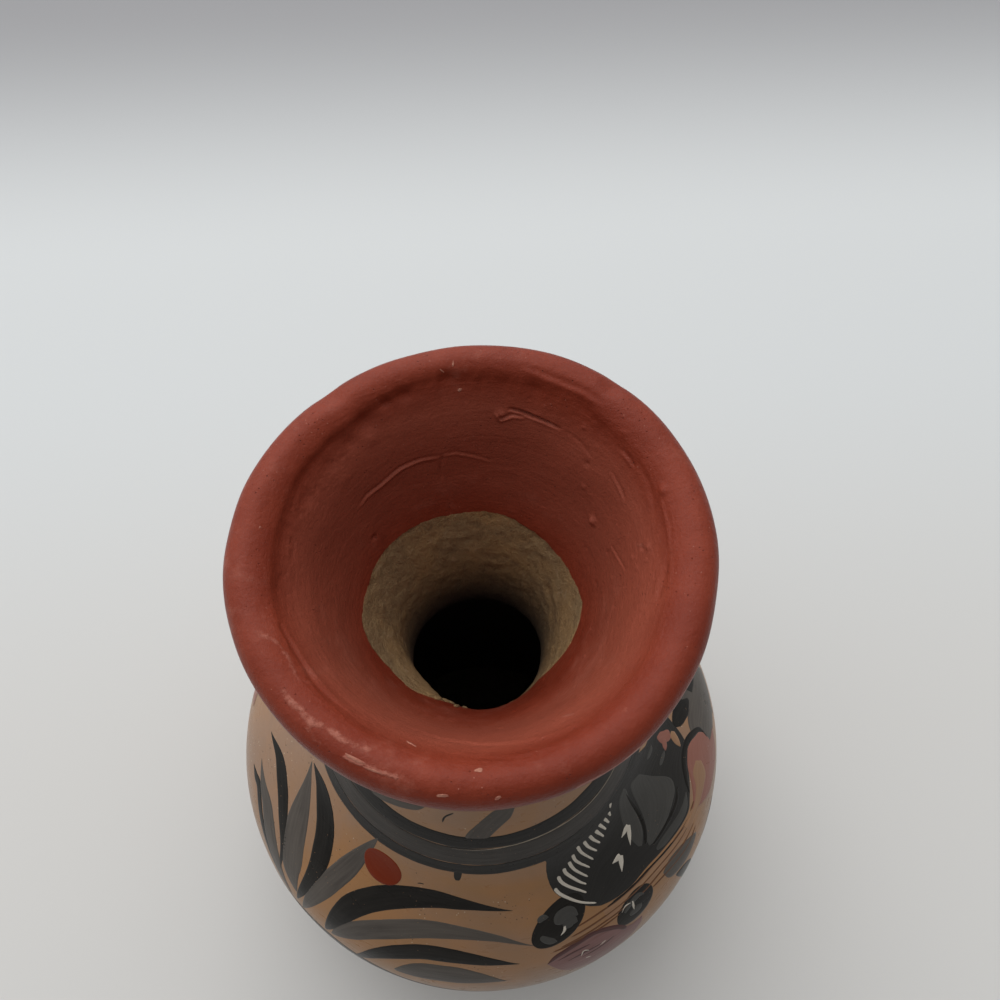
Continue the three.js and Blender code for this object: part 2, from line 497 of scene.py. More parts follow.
# %% Soft unevenness
BODY_HILLS = 0.12
BODY_HILL_SIZE = 24.0
MOUTH_HILLS = 0.34
MOUTH_HILL_SIZE = 15.0
MOUTH_SINKS = 0.45
FINGER_RIDGES = 0.08
FINGER_HEIGHT = 3.4
FINGER_TURN = 5.0
THROAT_GRIT = 0.42
THROAT_GRIT_SIZE = 2.6


def noise_at(points):
    flat = np.asarray(points).reshape(-1, 3)
    return np.array([noise.noise(p) for p in flat]).reshape(np.shape(points)[:-1])


def body_hills(points):
    """How far the burnished body stands out from the true form, never above it."""
    return BODY_HILLS * (noise_at(points / BODY_HILL_SIZE) - 1)


def finger_ridges(points):
    """Long low ridges that run round the funnel."""
    radius = np.hypot(points[..., 0], points[..., 1])
    turned_about = np.stack([points[..., 0] / radius * FINGER_TURN,
                             points[..., 1] / radius * FINGER_TURN,
                             points[..., 2] / FINGER_HEIGHT], -1)
    return FINGER_RIDGES * noise_at(turned_about)


def grit(points):
    coarse = noise_at(points / THROAT_GRIT_SIZE)
    return THROAT_GRIT * coarse * np.abs(noise_at(points / (2 * THROAT_GRIT_SIZE)) + 0.5)


def facing_of(points):
    """The direction that each point of the path faces, out of the clay."""
    along = np.roll(points, -1, axis=1) - np.roll(points, 1, axis=1)
    across = np.gradient(points, axis=0)
    facing = np.cross(along, across)
    return facing / np.linalg.norm(facing, axis=-1, keepdims=True)


# %% [markdown]
# Some marks are particular: the scored arcs in the funnel, the dent on the left of the crease, a few
# lumps of clay under the slip and two flat places on the rim. Each is a line or a spot given by the
# pixels that show it, and the clay is pressed in or raised near it.

# %% The marks of tools and fingers
SCORES = {  # the pixels of the line, its depth, its width, and the height of the clay pushed up
    "arc_left": (((360, 506), (366, 496), (380, 485), (400, 468), (421, 459), (441, 456)),
                 0.3, 0.42, 0.42),
    "arc_middle": (((441, 455), (456, 452), (475, 456), (492, 462)), 0.2, 0.4, 0.22),
    "arc_right": (((508, 409), (520, 412), (531, 417), (544, 422), (560, 430)), 1.0, 0.34, 0.25),
    "arc_right_low": (((497, 412), (501, 419), (512, 415), (525, 417)), 0.35, 0.4, 0.4),
    "arc_outer_right": (((565, 432), (580, 443), (592, 458)), 0.16, 0.5, 0.05),
    "fold_left": (((279, 622), (287, 636), (297, 652), (308, 668), (316, 680)), 0.45, 0.8, 0.1),
    "fold_lower_left": (((306, 668), (322, 690), (345, 710)), 0.35, 1.2, 0.1),
    "wipe_front": (((400, 722), (440, 738), (490, 744), (540, 738), (580, 724)), 0.15, 1.1, 0.08),
    "wipe_front_low": (((432, 748), (470, 756), (520, 755), (560, 746)), 0.1, 0.9, 0.05),
    "score_right": (((611, 470), (617, 482), (622, 494), (624, 503)), 0.25, 0.4, 0.15),
    "score_right_low": (((621, 449), (628, 457), (634, 468)), 0.3, 0.45, 0.15),
    "score_far_right": (((636, 462), (646, 480), (652, 500), (655, 525)), 0.16, 0.8, 0.05),
    "scratch_right": (((610, 545), (617, 556), (625, 570)), 0.2, 0.38, 0.1),
    "edge_right": (((662, 488), (664, 505), (669, 525), (671, 548)), 0.05, 0.5, 0.15),
    "edge_right_low": (((666, 560), (662, 580), (656, 600)), 0.2, 0.9, 0.08),
    "edge_back_right": (((520, 364), (560, 380), (585, 391), (606, 404)), 0.2, 0.7, 0.2),
    "seam_back": (((443, 456), (441, 468), (443, 480)), 0.3, 0.42, 0.1),
}
LUMPS = {  # the pixel, how far the clay stands out there, and over what radius
    "by_the_throat": ((592, 521), 0.9, 0.9),
    "right_a": ((647, 547), 0.35, 0.7),
    "right_b": ((662, 490), 0.45, 1.0),
    "right_c": ((641, 548), -0.35, 0.6),
    "upper_right": ((587, 464), -0.4, 0.7),
    "nub_back": ((500, 415), 0.6, 0.9),
    "left_pit": ((375, 538), -0.6, 0.7),
    "rim_flat_left": ((331, 397), -0.9, 3.2),
    "rim_flat_right": ((612, 387), -0.8, 2.4),
    "worn_left": ((268, 640), 0.5, 6.0),
    "hollow_left": ((292, 610), -0.5, 5.0),
    "dent_a": ((405, 396), -0.55, 1.7),
    "dent_b": ((386, 405), -0.4, 1.3),
    "dent_c": ((366, 424), -0.6, 2.2),
    "dent_d": ((352, 443), -0.45, 1.8),
    "dent_e": ((331, 465), -0.35, 1.6),
    "dent_f": ((309, 500), -0.35, 2.0),
    "bump_a": ((372, 440), 0.3, 1.6),
    "bump_b": ((345, 480), 0.25, 2.0),
}
RANDOM_LUMPS = 46
LUMPS_STOP = 12
LUMPS_MIDDLE = 0.27
LUMPS_SPREAD = 0.13
LUMP_HEIGHT = 0.25
LUMP_RADII = (0.35, 0.7)
lump_dice = np.random.default_rng(7)


def mouth_line(pixels):
    return np.array([met(mouth_catcher, pixel)[0] for pixel in pixels])


def beside(points, start, end):
    """How far along a straight line each point lies, from 0 to 1, and the way from the line to it."""
    run = end - start
    t = np.clip(((points - start) @ run) / (run @ run), 0, 1)
    return t, points - (start + t[..., None] * run)


def score(points, pixels, depth, width, ridge):
    """A groove along a line of pixels, with the clay that it pushed up on its lower side."""
    line = mouth_line(pixels)
    nearest = np.full(points.shape[:-1], 1e9)
    below = np.zeros(points.shape[:-1])
    fade = np.zeros(points.shape[:-1])
    for i, (start, end) in enumerate(zip(line, line[1:])):
        t, gap = beside(points, start, end)
        distance = np.linalg.norm(gap, axis=-1)
        closer = distance < nearest
        nearest = np.where(closer, distance, nearest)
        below = np.where(closer, -np.sign(gap[..., 2]) * distance, below)
        fade = np.where(closer, np.sin(np.pi * (i + t) / (len(line) - 1)) ** 0.5, fade)
    groove = depth * np.exp(-((nearest / width) ** 2))
    pushed = ridge * np.exp(-(((below - 1.5 * width) / width) ** 2))
    return fade * (pushed - groove)


def lump(points, centre, height, radius):
    distance = np.linalg.norm(points - np.array(centre), axis=-1)
    return height * np.exp(-((distance / radius) ** 2))


# %% [markdown]
# Where the coil of the lip meets the funnel there is a step. At the back left it is a deep fold with
# an uneven edge and small pits below it, and at the front and on the right the potter smoothed it
# away. It is pressed in abruptly on the side of the lip, and it fades slowly into the funnel.

# %% The fold inside the lip
FOLD_DEPTH = 0.66
FOLD_ONSET = 3.4
FOLD_FADE = 6.0
FOLD_SHIFT = 2.0
FOLD_SHIFT_LEFT = 2.2
DEEPEST_FOLD = math.radians(-152)
SHALLOWEST = 0.12
FOLD_UNEVEN = 0.75
PIT_DEPTH = 0.75
PIT_SIZE = 1.3
PIT_REACH = 3.0
PIT_SHARE = 0.25
PIT_LEAST = 0.08
# how high a wavering line is, how fine it is, and its seed
FOLD_WAVE = (1.0, 4.5, 5.1)
FOLD_RIPPLE = (0.25, 12.0, 2.2)
FOLD_WANDER = (1.3, 3.0, 9.4)
PIT_PATCHES = (1.6, 3.5, 4.4)


def step_up(edge_low, edge_high, value):
    """Rises smoothly from 0 to 1 between two edges."""
    return cubic_shares(np.clip((value - edge_low) / (edge_high - edge_low), 0, 1))[0]


def lip_fold(points):
    """How deep the fold is pressed in, ring by ring. Points start at the crest."""
    run = np.linalg.norm(np.diff(points, axis=0, prepend=points[:1]), axis=-1).cumsum(axis=0)
    shift = FOLD_SHIFT + FOLD_SHIFT_LEFT * np.clip(-np.sin(angles), 0, 1) ** 2
    past = run - run[mark["crease"] - mark["crest"]] - shift
    near = ((1 + np.cos(angles - DEEPEST_FOLD)) / 2) ** 3
    depth = FOLD_DEPTH * (SHALLOWEST + (1 - SHALLOWEST) * near)
    uneven = 1 + FOLD_UNEVEN * (ragged(*FOLD_WAVE) + ragged(*FOLD_RIPPLE))
    past = past + ragged(*FOLD_WANDER)
    patchy = np.clip(ragged(*PIT_PATCHES) + PIT_SHARE, 0, 1) * near
    pits = np.clip(noise_at(points / PIT_SIZE) - PIT_LEAST, 0, 1)
    pits = pits * np.exp(-((past / PIT_REACH - 1) ** 2))
    faded = np.exp(-np.maximum(past, 0) / FOLD_FADE)
    fold = depth * uneven * step_up(-FOLD_ONSET, 0, past) * faded
    return -fold - PIT_DEPTH * patchy * pits


# %% [markdown]
# The lip isn't a true circle either: seen from above it stands out a little more at the back and on
# the right. All the unevenness is added up here, and each point moves along the way it faces.

# %% Work the path by hand
LIP_PUSH = 0.45
LIP_PUSH_MORE = 0.3
LIP_PUSH_TOWARDS = math.radians(120)
SLIP_THICKNESS = 0.22


facing = facing_of(path)
worked = np.zeros(path.shape[:2])
body_end = mark["under_lip"]
worked[:body_end] = body_hills(path[:body_end])
mouth = slice(body_end, mark["slip_edge"] + 1)
mouth_points = path[mouth]
worked[mouth] = MOUTH_HILLS * (noise_at(mouth_points / MOUTH_HILL_SIZE) - MOUTH_SINKS)
lip_outside = slice(mark["under_lip"] - QUARTER_STEPS, mark["crest"] + 1)
push = LIP_PUSH + LIP_PUSH_MORE * np.cos(angles - LIP_PUSH_TOWARDS)
leaning_out = np.clip(np.hypot(facing[lip_outside, :, 0], facing[lip_outside, :, 1]), 0, 1)
worked[lip_outside] += push * leaning_out
inward = slice(mark["crest"], mark["slip_edge"] + 1)
worked[inward] += lip_fold(path[inward])
funnel = slice(mark["crease"], mark["slip_edge"] + 1)
worked[funnel] += finger_ridges(path[funnel])
for details in SCORES.values():
    worked[mouth] += score(mouth_points, *details)
for pixel, height, radius in LUMPS.values():
    worked[mouth] += lump(mouth_points, met(mouth_catcher, pixel)[0], height, radius)
for _ in range(RANDOM_LUMPS):
    row = lump_dice.integers(mark["crease"], mark["slip_edge"] - LUMPS_STOP)
    side = int(lump_dice.normal(LUMPS_MIDDLE, LUMPS_SPREAD) * SIDES) % SIDES
    height = lump_dice.uniform(-LUMP_HEIGHT, LUMP_HEIGHT)
    worked[mouth] += lump(mouth_points, path[row, side], height, lump_dice.uniform(*LUMP_RADII))
throat = slice(mark["slip_edge"] + 1, mark["upper_inside"] + 1)
worked[throat] += grit(path[throat]) - SLIP_THICKNESS
path_at_rest = path
path = path + facing * worked[..., None]
path_facing = facing_of(path)
print("The clay moved by", round(float(worked.min()), 2), "to", round(float(worked.max()), 2), "mm")

# %% [markdown]
# Handling has worn the slip in thin chains of pale flecks, most of all on the left of the lip. Three pale
# lines low on the front of the lip are painted highlights, the gloss streaks that the light leaves there,
# and they are made the same way. Each line is a line of pixels. How near a point lies to one is kept with
# the mesh as a number of its own, and the finish breaks it up into flecks.

# %% Where the slip is worn, and where highlights are painted
SCUFF_AND_HIGHLIGHT_LINES = (  # the pixels of the line, its width, and how strong it is
    (((248, 630), (263, 635), (277, 643), (287, 657), (295, 670), (299, 678)), 1.5, 0.62),
    (((262, 652), (270, 665), (277, 680), (283, 690)), 1.7, 0.5),
    (((283, 690), (290, 702), (302, 712), (312, 723), (327, 726), (341, 739), (367, 748)), 1.5, 0.8),
    (((303, 722), (315, 739), (335, 754)), 1.3, 0.6),
    # The next three lines are painted highlights, not wear: gloss streaks low on the front of the lip,
    # painted pale.
    (((345, 757), (358, 763), (376, 770), (396, 777)), 0.8, 0.9),
    (((578, 788), (600, 778), (622, 765), (650, 742)), 0.9, 0.95),
    (((562, 716), (580, 711), (598, 702)), 1.0, 0.6),
    # From here on the lines are wear again.
    (((619, 714), (626, 707), (634, 696)), 1.5, 0.55),
    (((252, 522), (258, 529), (262, 527)), 0.8, 0.6),
    (((268, 445), (285, 425), (303, 409)), 1.2, 0.4),
    (((636, 545), (648, 546), (659, 542)), 1.0, 0.6),
    (((655, 580), (661, 588), (664, 600)), 1.2, 0.45),
)


def scuff_and_highlight_share(points):
    """How near each point lies to a line of wear, and on the front of the lip to a painted highlight
    line: 1 in the middle of a line, and 0 away from them.
    """
    share = np.zeros(points.shape[:-1])
    for pixels, width, strength in SCUFF_AND_HIGHLIGHT_LINES:
        line = mouth_line(pixels)
        for start, end in zip(line, line[1:]):
            distance = np.linalg.norm(beside(points, start, end)[1], axis=-1)
            share = np.maximum(share, strength * np.exp(-((distance / width) ** 2)))
    return share


scuff_and_highlight_map = np.zeros(path.shape[:2])
scuff_and_highlight_map[mouth] = scuff_and_highlight_share(mouth_points)
print("Scuffed points", int((scuff_and_highlight_map > 0.1).sum()))

# %% [markdown]
# Each section becomes one closed skin: its stretch of the outside, its stretch of the inside, and
# hidden faces where it meets its neighbours. The skins share the rings at the seams and the
# directions in which the surface faces there, so the light runs on from one to the next.

# %% Build a closed skin from rings
def wrap_faces(rows, sides, close_rows):
    """The quads of a grid that closes on itself round the vase."""
    last = rows if close_rows else rows - 1
    return [(j * sides + i, j * sides + (i + 1) % sides,
             ((j + 1) % rows) * sides + (i + 1) % sides, ((j + 1) % rows) * sides + i)
            for j in range(last) for i in range(sides)]


def new_piece(name, points, faces, node=None):
    """A mesh piece in metres that rides on the vase, and stands for one of its solids if it is named."""
    mesh = bpy.data.meshes.new(name)
    mesh.from_pydata((np.asarray(points).reshape(-1, 3) * MM).tolist(), [], faces)
    mesh.update()
    mesh.shade_smooth()
    piece = bpy.data.objects.new(name, mesh)
    bpy.context.scene.collection.objects.link(piece)
    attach(piece, "root")
    if node:
        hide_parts(node)
    return piece


def path_rows(stretches):
    """The numbers of the rings between pairs of marks on the path."""
    return np.concatenate([np.arange(mark[first], mark[last] + 1) for first, last in stretches])


def skin(name, node, slot, stretches):
    """One section, with a "Scuffed" number at each of its points."""
    rows = path_rows(stretches)
    piece = new_piece(name, path[rows], wrap_faces(len(rows), SIDES, True), node)
    piece.data.normals_split_custom_set_from_vertices(path_facing[rows].reshape(-1, 3).tolist())
    layer = piece.data.attributes.new("ScuffsAndHighlights", "FLOAT", "POINT")
    layer.data.foreach_set("value", scuff_and_highlight_map[rows].ravel().astype(np.float32))
    print(name, len(piece.data.polygons), "faces")
    return piece


SKINS = {  # the solid that it replaces, its slot, and its stretches of the path
    "lower_body": ("lower_bowl", "buff_clay",
                   (("foot", "lower_bowl"), ("lower_inside", "floor"))),
    "upper_body": ("upper_bowl", "buff_clay",
                   (("lower_bowl", "upper_bowl"), ("upper_inside", "lower_inside"))),
    "neck_wall": ("neck", "buff_clay",
                  (("upper_bowl", "neck"), ("neck_inside", "upper_inside"))),
    "mouth_flare": ("mouth_funnel", "red_slip",
                    (("neck", "mouth_funnel"), ("crease", "neck_inside"))),
    "rolled_lip": ("lip_roll", "red_slip", (("mouth_funnel", "crease"),)),
}
skins = {name: skin(name, *details) for name, details in SKINS.items()}

# %% [markdown]
# The foot is a pressed disc. It closes the vase below, stands on a flat ring round a shallow hollow,
# and its raised middle is the floor that one would see deep inside.

# %% The foot
slab_low, slab_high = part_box("base_slab")
HOLLOW_DEPTH = 1.6
STANDING_INNER = 31.0
EDGE_ROUNDING = 1.5
SLAB_LEAN = 1.2
HOLLOW_RINGS = (0.01, 8.0, 16.0, 24.0, STANDING_INNER - HOLLOW_DEPTH)
FLOOR_RINGS = (1, 0.75, 0.5, 0.25, 0.0002)
standing_outer = outer_wall(angles, outer_seams[0]) - outer_seams[0] * SLAB_LEAN - EDGE_ROUNDING


def foot_rings():
    """Rings from the middle of the hollow, out under the rim, up the edge and in to the floor."""
    rings = [ring(r, HOLLOW_DEPTH) for r in HOLLOW_RINGS]
    rings += [ring(STANDING_INNER - HOLLOW_DEPTH * s, HOLLOW_DEPTH * s) for s in (0.6, 0.25, 0.05)]
    rings += [ring(STANDING_INNER, 0), ring((STANDING_INNER + standing_outer) / 2, 0)]
    turns = np.linspace(0, np.pi / 2, 8)
    rings += [ring(standing_outer + EDGE_ROUNDING * math.sin(t), EDGE_ROUNDING * (1 - math.cos(t)))
              for t in turns]
    top = path[mark["foot"]]
    edge_foot = rings[-1]
    rings += [edge_foot + (top - edge_foot) * s for s in (0.25, 0.5, 0.75, 1.0)]
    rings += [path[mark["floor"]] * (s, s, 1) for s in FLOOR_RINGS]
    return np.array(rings)


foot_points = foot_rings()
foot_faces = wrap_faces(len(foot_points), SIDES, True)
foot_disc = new_piece("foot_disc", foot_points, foot_faces, "base_slab")
print("foot_disc", len(foot_disc.data.polygons), "faces")
print("Its solid measures", [round(v / MM, 1) for v in slab_high - slab_low], "mm")

# %% [markdown]
# The materials are worked out from a few effects that several finishes share, so each effect is a
# node group with named sockets. One helper adds a node and feeds its inputs, each with a plain value
# or with what another node puts out. The others are for what is needed most: sums, ramps and mixes.

# %% Helpers for nodes
def feed(tree, socket, value):
    """Joins another node's output to an input, or sets the input to a plain value."""
    if isinstance(value, bpy.types.Node):
        value = value.outputs[0]
    if isinstance(value, bpy.types.NodeSocket):
        tree.links.new(value, socket)
    else:
        socket.default_value = value


def add(tree, kind, *inputs, **values):
    """Adds a node. Inputs come in the node's own order, and values go to its settings or to the
    input of that name (spaces as _)."""
    node = tree.nodes.new(kind)
    for key, value in values.items():
        if hasattr(node, key):
            setattr(node, key, value)
        else:
            feed(tree, node.inputs[key.replace("_", " ")], value)
    for socket, value in zip(node.inputs, inputs):
        feed(tree, socket, value)
    return node


def own_place(tree):
    """Where the point lies on the vase, in metres."""
    return add(tree, "ShaderNodeTexCoord").outputs["Object"]


def figure(tree, operation, *inputs, **values):
    return add(tree, "ShaderNodeMath", *inputs, operation=operation, **values)


def ramp(tree, value, start, stop, top=1.0, kind="LINEAR"):
    """Rises from 0 to top while the value goes from start to stop."""
    return add(tree, "ShaderNodeMapRange", value, start, stop, 0.0, top, interpolation_type=kind)


def ease(tree, value, start, stop, top=1.0):
    return ramp(tree, value, start, stop, top, "SMOOTHSTEP")


def mix(tree, share, under, over, **values):
    """One colour over another, where share is 1."""
    node = add(tree, "ShaderNodeMix", share, data_type="RGBA", **values)
    feed(tree, node.inputs[6], under)
    feed(tree, node.inputs[7], over)
    return node.outputs[2]


def new_group(name, output, kind, **inputs):
    """An empty shader group with one output: its tree, its inputs by name, and the output's socket."""
    tree = bpy.data.node_groups.new(name, "ShaderNodeTree")
    for label, default in inputs.items():
        sort = "NodeSocketFloat" if isinstance(default, float) else "NodeSocketColor"
        tree.interface.new_socket(label, in_out="INPUT", socket_type=sort).default_value = default
    tree.interface.new_socket(output, in_out="OUTPUT", socket_type=kind)
    return tree, tree.nodes.new("NodeGroupInput").outputs, tree.nodes.new("NodeGroupOutput").inputs[0]


def use(tree, group, **values):
    """Places a group in a material with its own values."""
    return add(tree, "ShaderNodeGroup", node_tree=group, **values)


# %% [markdown]
# Burnishing leaves narrow polished tracks that run mostly round the pot. The group turns the point
# into a direction from the axis and a height, so noise can be long round the vase and short up it,
# without a seam anywhere.

# %% The burnish group
TRACK_BEND = (2.2, 2.2, 2.2)


def burnish_group():
    tree, given, out = new_group("burnish tracks", "Track", "NodeSocketFloat",
                                 Turn=12.0, Tall=900.0, Contrast=0.5)
    parts = add(tree, "ShaderNodeSeparateXYZ", own_place(tree)).outputs
    flat = add(tree, "ShaderNodeCombineXYZ", parts["X"], parts["Y"])
    unit = add(tree, "ShaderNodeVectorMath", flat, operation="NORMALIZE")
    wide = add(tree, "ShaderNodeVectorMath", unit, operation="SCALE", Scale=given["Turn"])
    up = add(tree, "ShaderNodeCombineXYZ", Z=figure(tree, "MULTIPLY", parts["Z"], given["Tall"]))
    where = add(tree, "ShaderNodeVectorMath", wide, up, operation="ADD")
    bend = add(tree, "ShaderNodeTexNoise", where, Scale=0.35, Detail=2.0).outputs["Color"]
    shifted = add(tree, "ShaderNodeVectorMath", bend, TRACK_BEND, where, operation="MULTIPLY_ADD")
    tracks = add(tree, "ShaderNodeTexNoise", shifted, Scale=1.0, Detail=4.0, Roughness=0.62)
    centred = figure(tree, "SUBTRACT", tracks, 0.5)
    feed(tree, out, figure(tree, "MULTIPLY", centred, given["Contrast"]))
    return tree


burnish = burnish_group()

# %% [markdown]
# Clouding: the fire leaves the clay warmer in one place and greyer in another, in soft patches a few
# centimetres wide with finer patches inside them. The group mixes two colours by such a noise. Two
# more groups scatter small grains, and wear the slip in ragged patches.

# %% The clouding, speck and wear groups
def cloud_group():
    tree, given, out = new_group("fire clouding", "Colour", "NodeSocketColor", Clay=(0.4, 0.25, 0.15, 1),
                                 Cloud=(0.4, 0.3, 0.25, 1), Size=18.0, Amount=0.6)
    patches = add(tree, "ShaderNodeTexNoise", own_place(tree), Scale=given["Size"],
                  Detail=5.0, Roughness=0.6, Distortion=0.6)
    share = figure(tree, "MULTIPLY", ease(tree, patches, 0.38, 0.66), given["Amount"])
    feed(tree, out, mix(tree, share, given["Clay"], given["Cloud"]))
    return tree


def speck_group():
    """Small round grains: bits of sand, dust and soot. The output is 1 on a grain."""
    tree, given, out = new_group("clay specks", "Mask", "NodeSocketFloat",
                                 Scale=500.0, Share=0.1, Softness=0.05)
    where = own_place(tree)
    grains = add(tree, "ShaderNodeTexVoronoi", where, Scale=given["Scale"])
    limit = figure(tree, "ADD", given["Share"], given["Softness"])
    grain = add(tree, "ShaderNodeMapRange", grains, given["Share"], limit, 1.0, 0.0)
    sparse = add(tree, "ShaderNodeTexNoise", where, Scale=90.0, Detail=1.0)
    feed(tree, out, figure(tree, "MULTIPLY", grain, ramp(tree, sparse, 0.5, 0.58)))
    return tree


def wear_group():
    """Patches of wear with ragged edges. The output is Amount in the middle of a patch."""
    tree, given, out = new_group("worn slip", "Mask", "NodeSocketFloat", Scale=160.0, Amount=0.5)
    where = own_place(tree)
    wide = add(tree, "ShaderNodeTexNoise", where, Scale=28.0, Detail=3.0)
    fine = add(tree, "ShaderNodeTexNoise", where, Scale=given["Scale"], Detail=6.0, Roughness=0.72)
    patch_mask = ease(tree, figure(tree, "MULTIPLY", wide, fine), 0.28, 0.42)
    feed(tree, out, figure(tree, "MULTIPLY", patch_mask, given["Amount"]))
    return tree


clouding, specks, wear = cloud_group(), speck_group(), wear_group()

# %% [markdown]
# A finish is a Principled shader in a material of its own. These helpers make what the finishes have
# in common: the shader, a colour laid over another where a mask says so, burnish tracks that vary
# the gloss, and one bump that adds up all the fine relief.

# %% A burnished finish
ROUGHNESS_SPREAD = 0.22


def new_finish(name, roughness, gloss=0.5):
    """Gloss is the specular level: 0.5 for polished slip, less for slip that has gone dull."""
    material = bpy.data.materials.new(name)
    material.use_nodes = True
    tree = material.node_tree
    tree.nodes.clear()
    shader = add(tree, "ShaderNodeBsdfPrincipled", Roughness=roughness, Specular_IOR_Level=gloss)
    add(tree, "ShaderNodeOutputMaterial", shader)
    return material, tree, shader.inputs


def tint(tree, under, colour, mask):
    return mix(tree, mask, under, (*colour, 1))


def clouded(tree, clay, cloud, size, amount):
    return use(tree, clouding, Clay=(*clay, 1), Cloud=(*cloud, 1), Size=size, Amount=amount)


def vary_gloss(tree, shader, tracks, middle, spread=ROUGHNESS_SPREAD):
    feed(tree, shader["Roughness"], figure(tree, "MULTIPLY_ADD", tracks, spread, middle, use_clamp=True))


def raise_surface(tree, shader, distance, *sources):
    """Adds up heights and feeds them through one bump. Sources are pairs of a node and its weight."""
    total = 0.0
    for source, weight in sources:
        total = figure(tree, "MULTIPLY_ADD", source, weight, total)
    bump = add(tree, "ShaderNodeBump", Strength=1.0, Distance=distance, Height=total)
    feed(tree, shader["Normal"], bump)


# %% The buff clay of the body
BUFF = (0.3, 0.16, 0.072)
BUFF_CLOUD = (0.26, 0.17, 0.12)
# This dark colour serves for the soot grains on the body, and for the painted shade deep in the throat.
SOOT_AND_SHADE = (0.045, 0.032, 0.022)
PALE_GRAIN = (0.5, 0.4, 0.3)
MOTTLE_GREY = (0.5, 0.5, 0.5)
MOTTLE_WARM = (0.62, 0.56, 0.5)
BODY_TRACKS = dict(Turn=9.0, Tall=700.0, Contrast=0.9)


def buff_clay_finish():
    material, tree, shader = new_finish("burnished buff clay", 0.3, 0.22)
    colour = clouded(tree, BUFF, BUFF_CLOUD, 14.0, 0.9)
    tracks = use(tree, burnish, **BODY_TRACKS)
    warmth = clouded(tree, MOTTLE_GREY, MOTTLE_WARM, 70.0, 0.7)
    mottled = mix(tree, 0.55, colour, warmth, blend_type="OVERLAY")
    dark = use(tree, specks, Scale=600.0, Share=0.07, Softness=0.06)
    pale = use(tree, specks, Scale=520.0, Share=0.06, Softness=0.05)
    feed(tree, shader["Base Color"], tint(tree, tint(tree, mottled, SOOT_AND_SHADE, dark), PALE_GRAIN, pale))
    vary_gloss(tree, shader, tracks, 0.3)
    fine = add(tree, "ShaderNodeTexNoise", Scale=900.0, Detail=3.0)
    raise_surface(tree, shader, 0.00012, (tracks, 0.6), (fine, 0.12), (dark, -0.5))
    return material


buff_clay = buff_clay_finish()

# %% The red slip of the mouth
RED = (0.215, 0.037, 0.018)
RED_CLOUD = (0.15, 0.021, 0.0095)
# The next colour is the pale red of worn slip. It is also the colour of the painted highlight lines on
# the front of the lip.
RED_WORN_AND_HIGHLIGHT = (0.34, 0.115, 0.08)
RED_DUST = (0.36, 0.14, 0.1)
RED_PIT = (0.11, 0.018, 0.01)
# The funnel's slope is painted a paler red: painted light and sheen, fading out towards the rim and
# towards the throat.
RED_PAINTED_LIGHT = (0.33, 0.095, 0.06)
FUNNEL_LIGHT_OUTER_START = 42.0
FUNNEL_LIGHT_OUTER_FULL = 36.0
FUNNEL_LIGHT_SHARE = 0.46
FUNNEL_LIGHT_INNER_END = 24.0
FUNNEL_LIGHT_INNER_FULL = 31.0


def funnel_light_mask(tree):
    """1 on the funnel's slope, where a paler red is painted in as the light and sheen that the slope
    catches: painted light.
    """
    parts = add(tree, "ShaderNodeSeparateXYZ", own_place(tree)).outputs
    flat = add(tree, "ShaderNodeCombineXYZ", parts["X"], parts["Y"])
    from_axis = add(tree, "ShaderNodeVectorMath", flat, operation="LENGTH").outputs["Value"]
    inwards = ease(tree, from_axis, FUNNEL_LIGHT_OUTER_START * MM, FUNNEL_LIGHT_OUTER_FULL * MM, FUNNEL_LIGHT_SHARE)
    return figure(tree, "MULTIPLY", inwards, ease(tree, from_axis, FUNNEL_LIGHT_INNER_END * MM, FUNNEL_LIGHT_INNER_FULL * MM))


def scuff_and_highlight_mask(tree):
    """Breaks the worn places and the painted highlight lines of the mesh up into flecks."""
    scuff = add(tree, "ShaderNodeAttribute", attribute_type="GEOMETRY", attribute_name="ScuffsAndHighlights")
    grain = add(tree, "ShaderNodeTexNoise", own_place(tree), Scale=330.0, Detail=6.0, Roughness=0.75)
    return ease(tree, figure(tree, "MULTIPLY", scuff.outputs["Fac"], grain), 0.26, 0.46)


def red_slip_finish():
    material, tree, shader = new_finish("burnished red slip", 0.32, 0.13)
    where = own_place(tree)
    tracks = use(tree, burnish, Turn=6.0, Tall=900.0, Contrast=0.8)
    worn = use(tree, wear, Scale=170.0, Amount=0.35)
    blotches = add(tree, "ShaderNodeTexNoise", where, Scale=150.0, Detail=5.0, Roughness=0.65,
                   Distortion=0.3)
    pits = use(tree, specks, Scale=700.0, Share=0.05, Softness=0.1)
    pale = use(tree, specks, Scale=640.0, Share=0.05, Softness=0.04)
    scuff_and_highlight_flecks = scuff_and_highlight_mask(tree)
    colour = clouded(tree, RED, RED_CLOUD, 32.0, 0.6)
    for shade, mask in ((RED_WORN_AND_HIGHLIGHT, worn), (RED_CLOUD, ramp(tree, blotches, 0.42, 0.72, 0.5)),
                        # the funnel slope's paler red is painted light and sheen
                        (RED_PAINTED_LIGHT, funnel_light_mask(tree)), (RED_PIT, pits), (RED_DUST, pale),
                        # wear, and the painted highlight lines on the front of the lip
                        (RED_WORN_AND_HIGHLIGHT, scuff_and_highlight_flecks)):
        colour = tint(tree, colour, shade, mask)
    feed(tree, shader["Base Color"], colour)
    vary_gloss(tree, shader, tracks, 0.32, 0.3)
    fine = add(tree, "ShaderNodeTexNoise", where, Scale=650.0, Detail=6.0, Roughness=0.75)
    raise_surface(tree, shader, 0.0003, (tracks, 0.7), (fine, 0.9), (blotches, 0.5), (pits, -0.4),
                  (worn, 0.2), (scuff_and_highlight_flecks, 0.4))
    return material


red_slip = red_slip_finish()

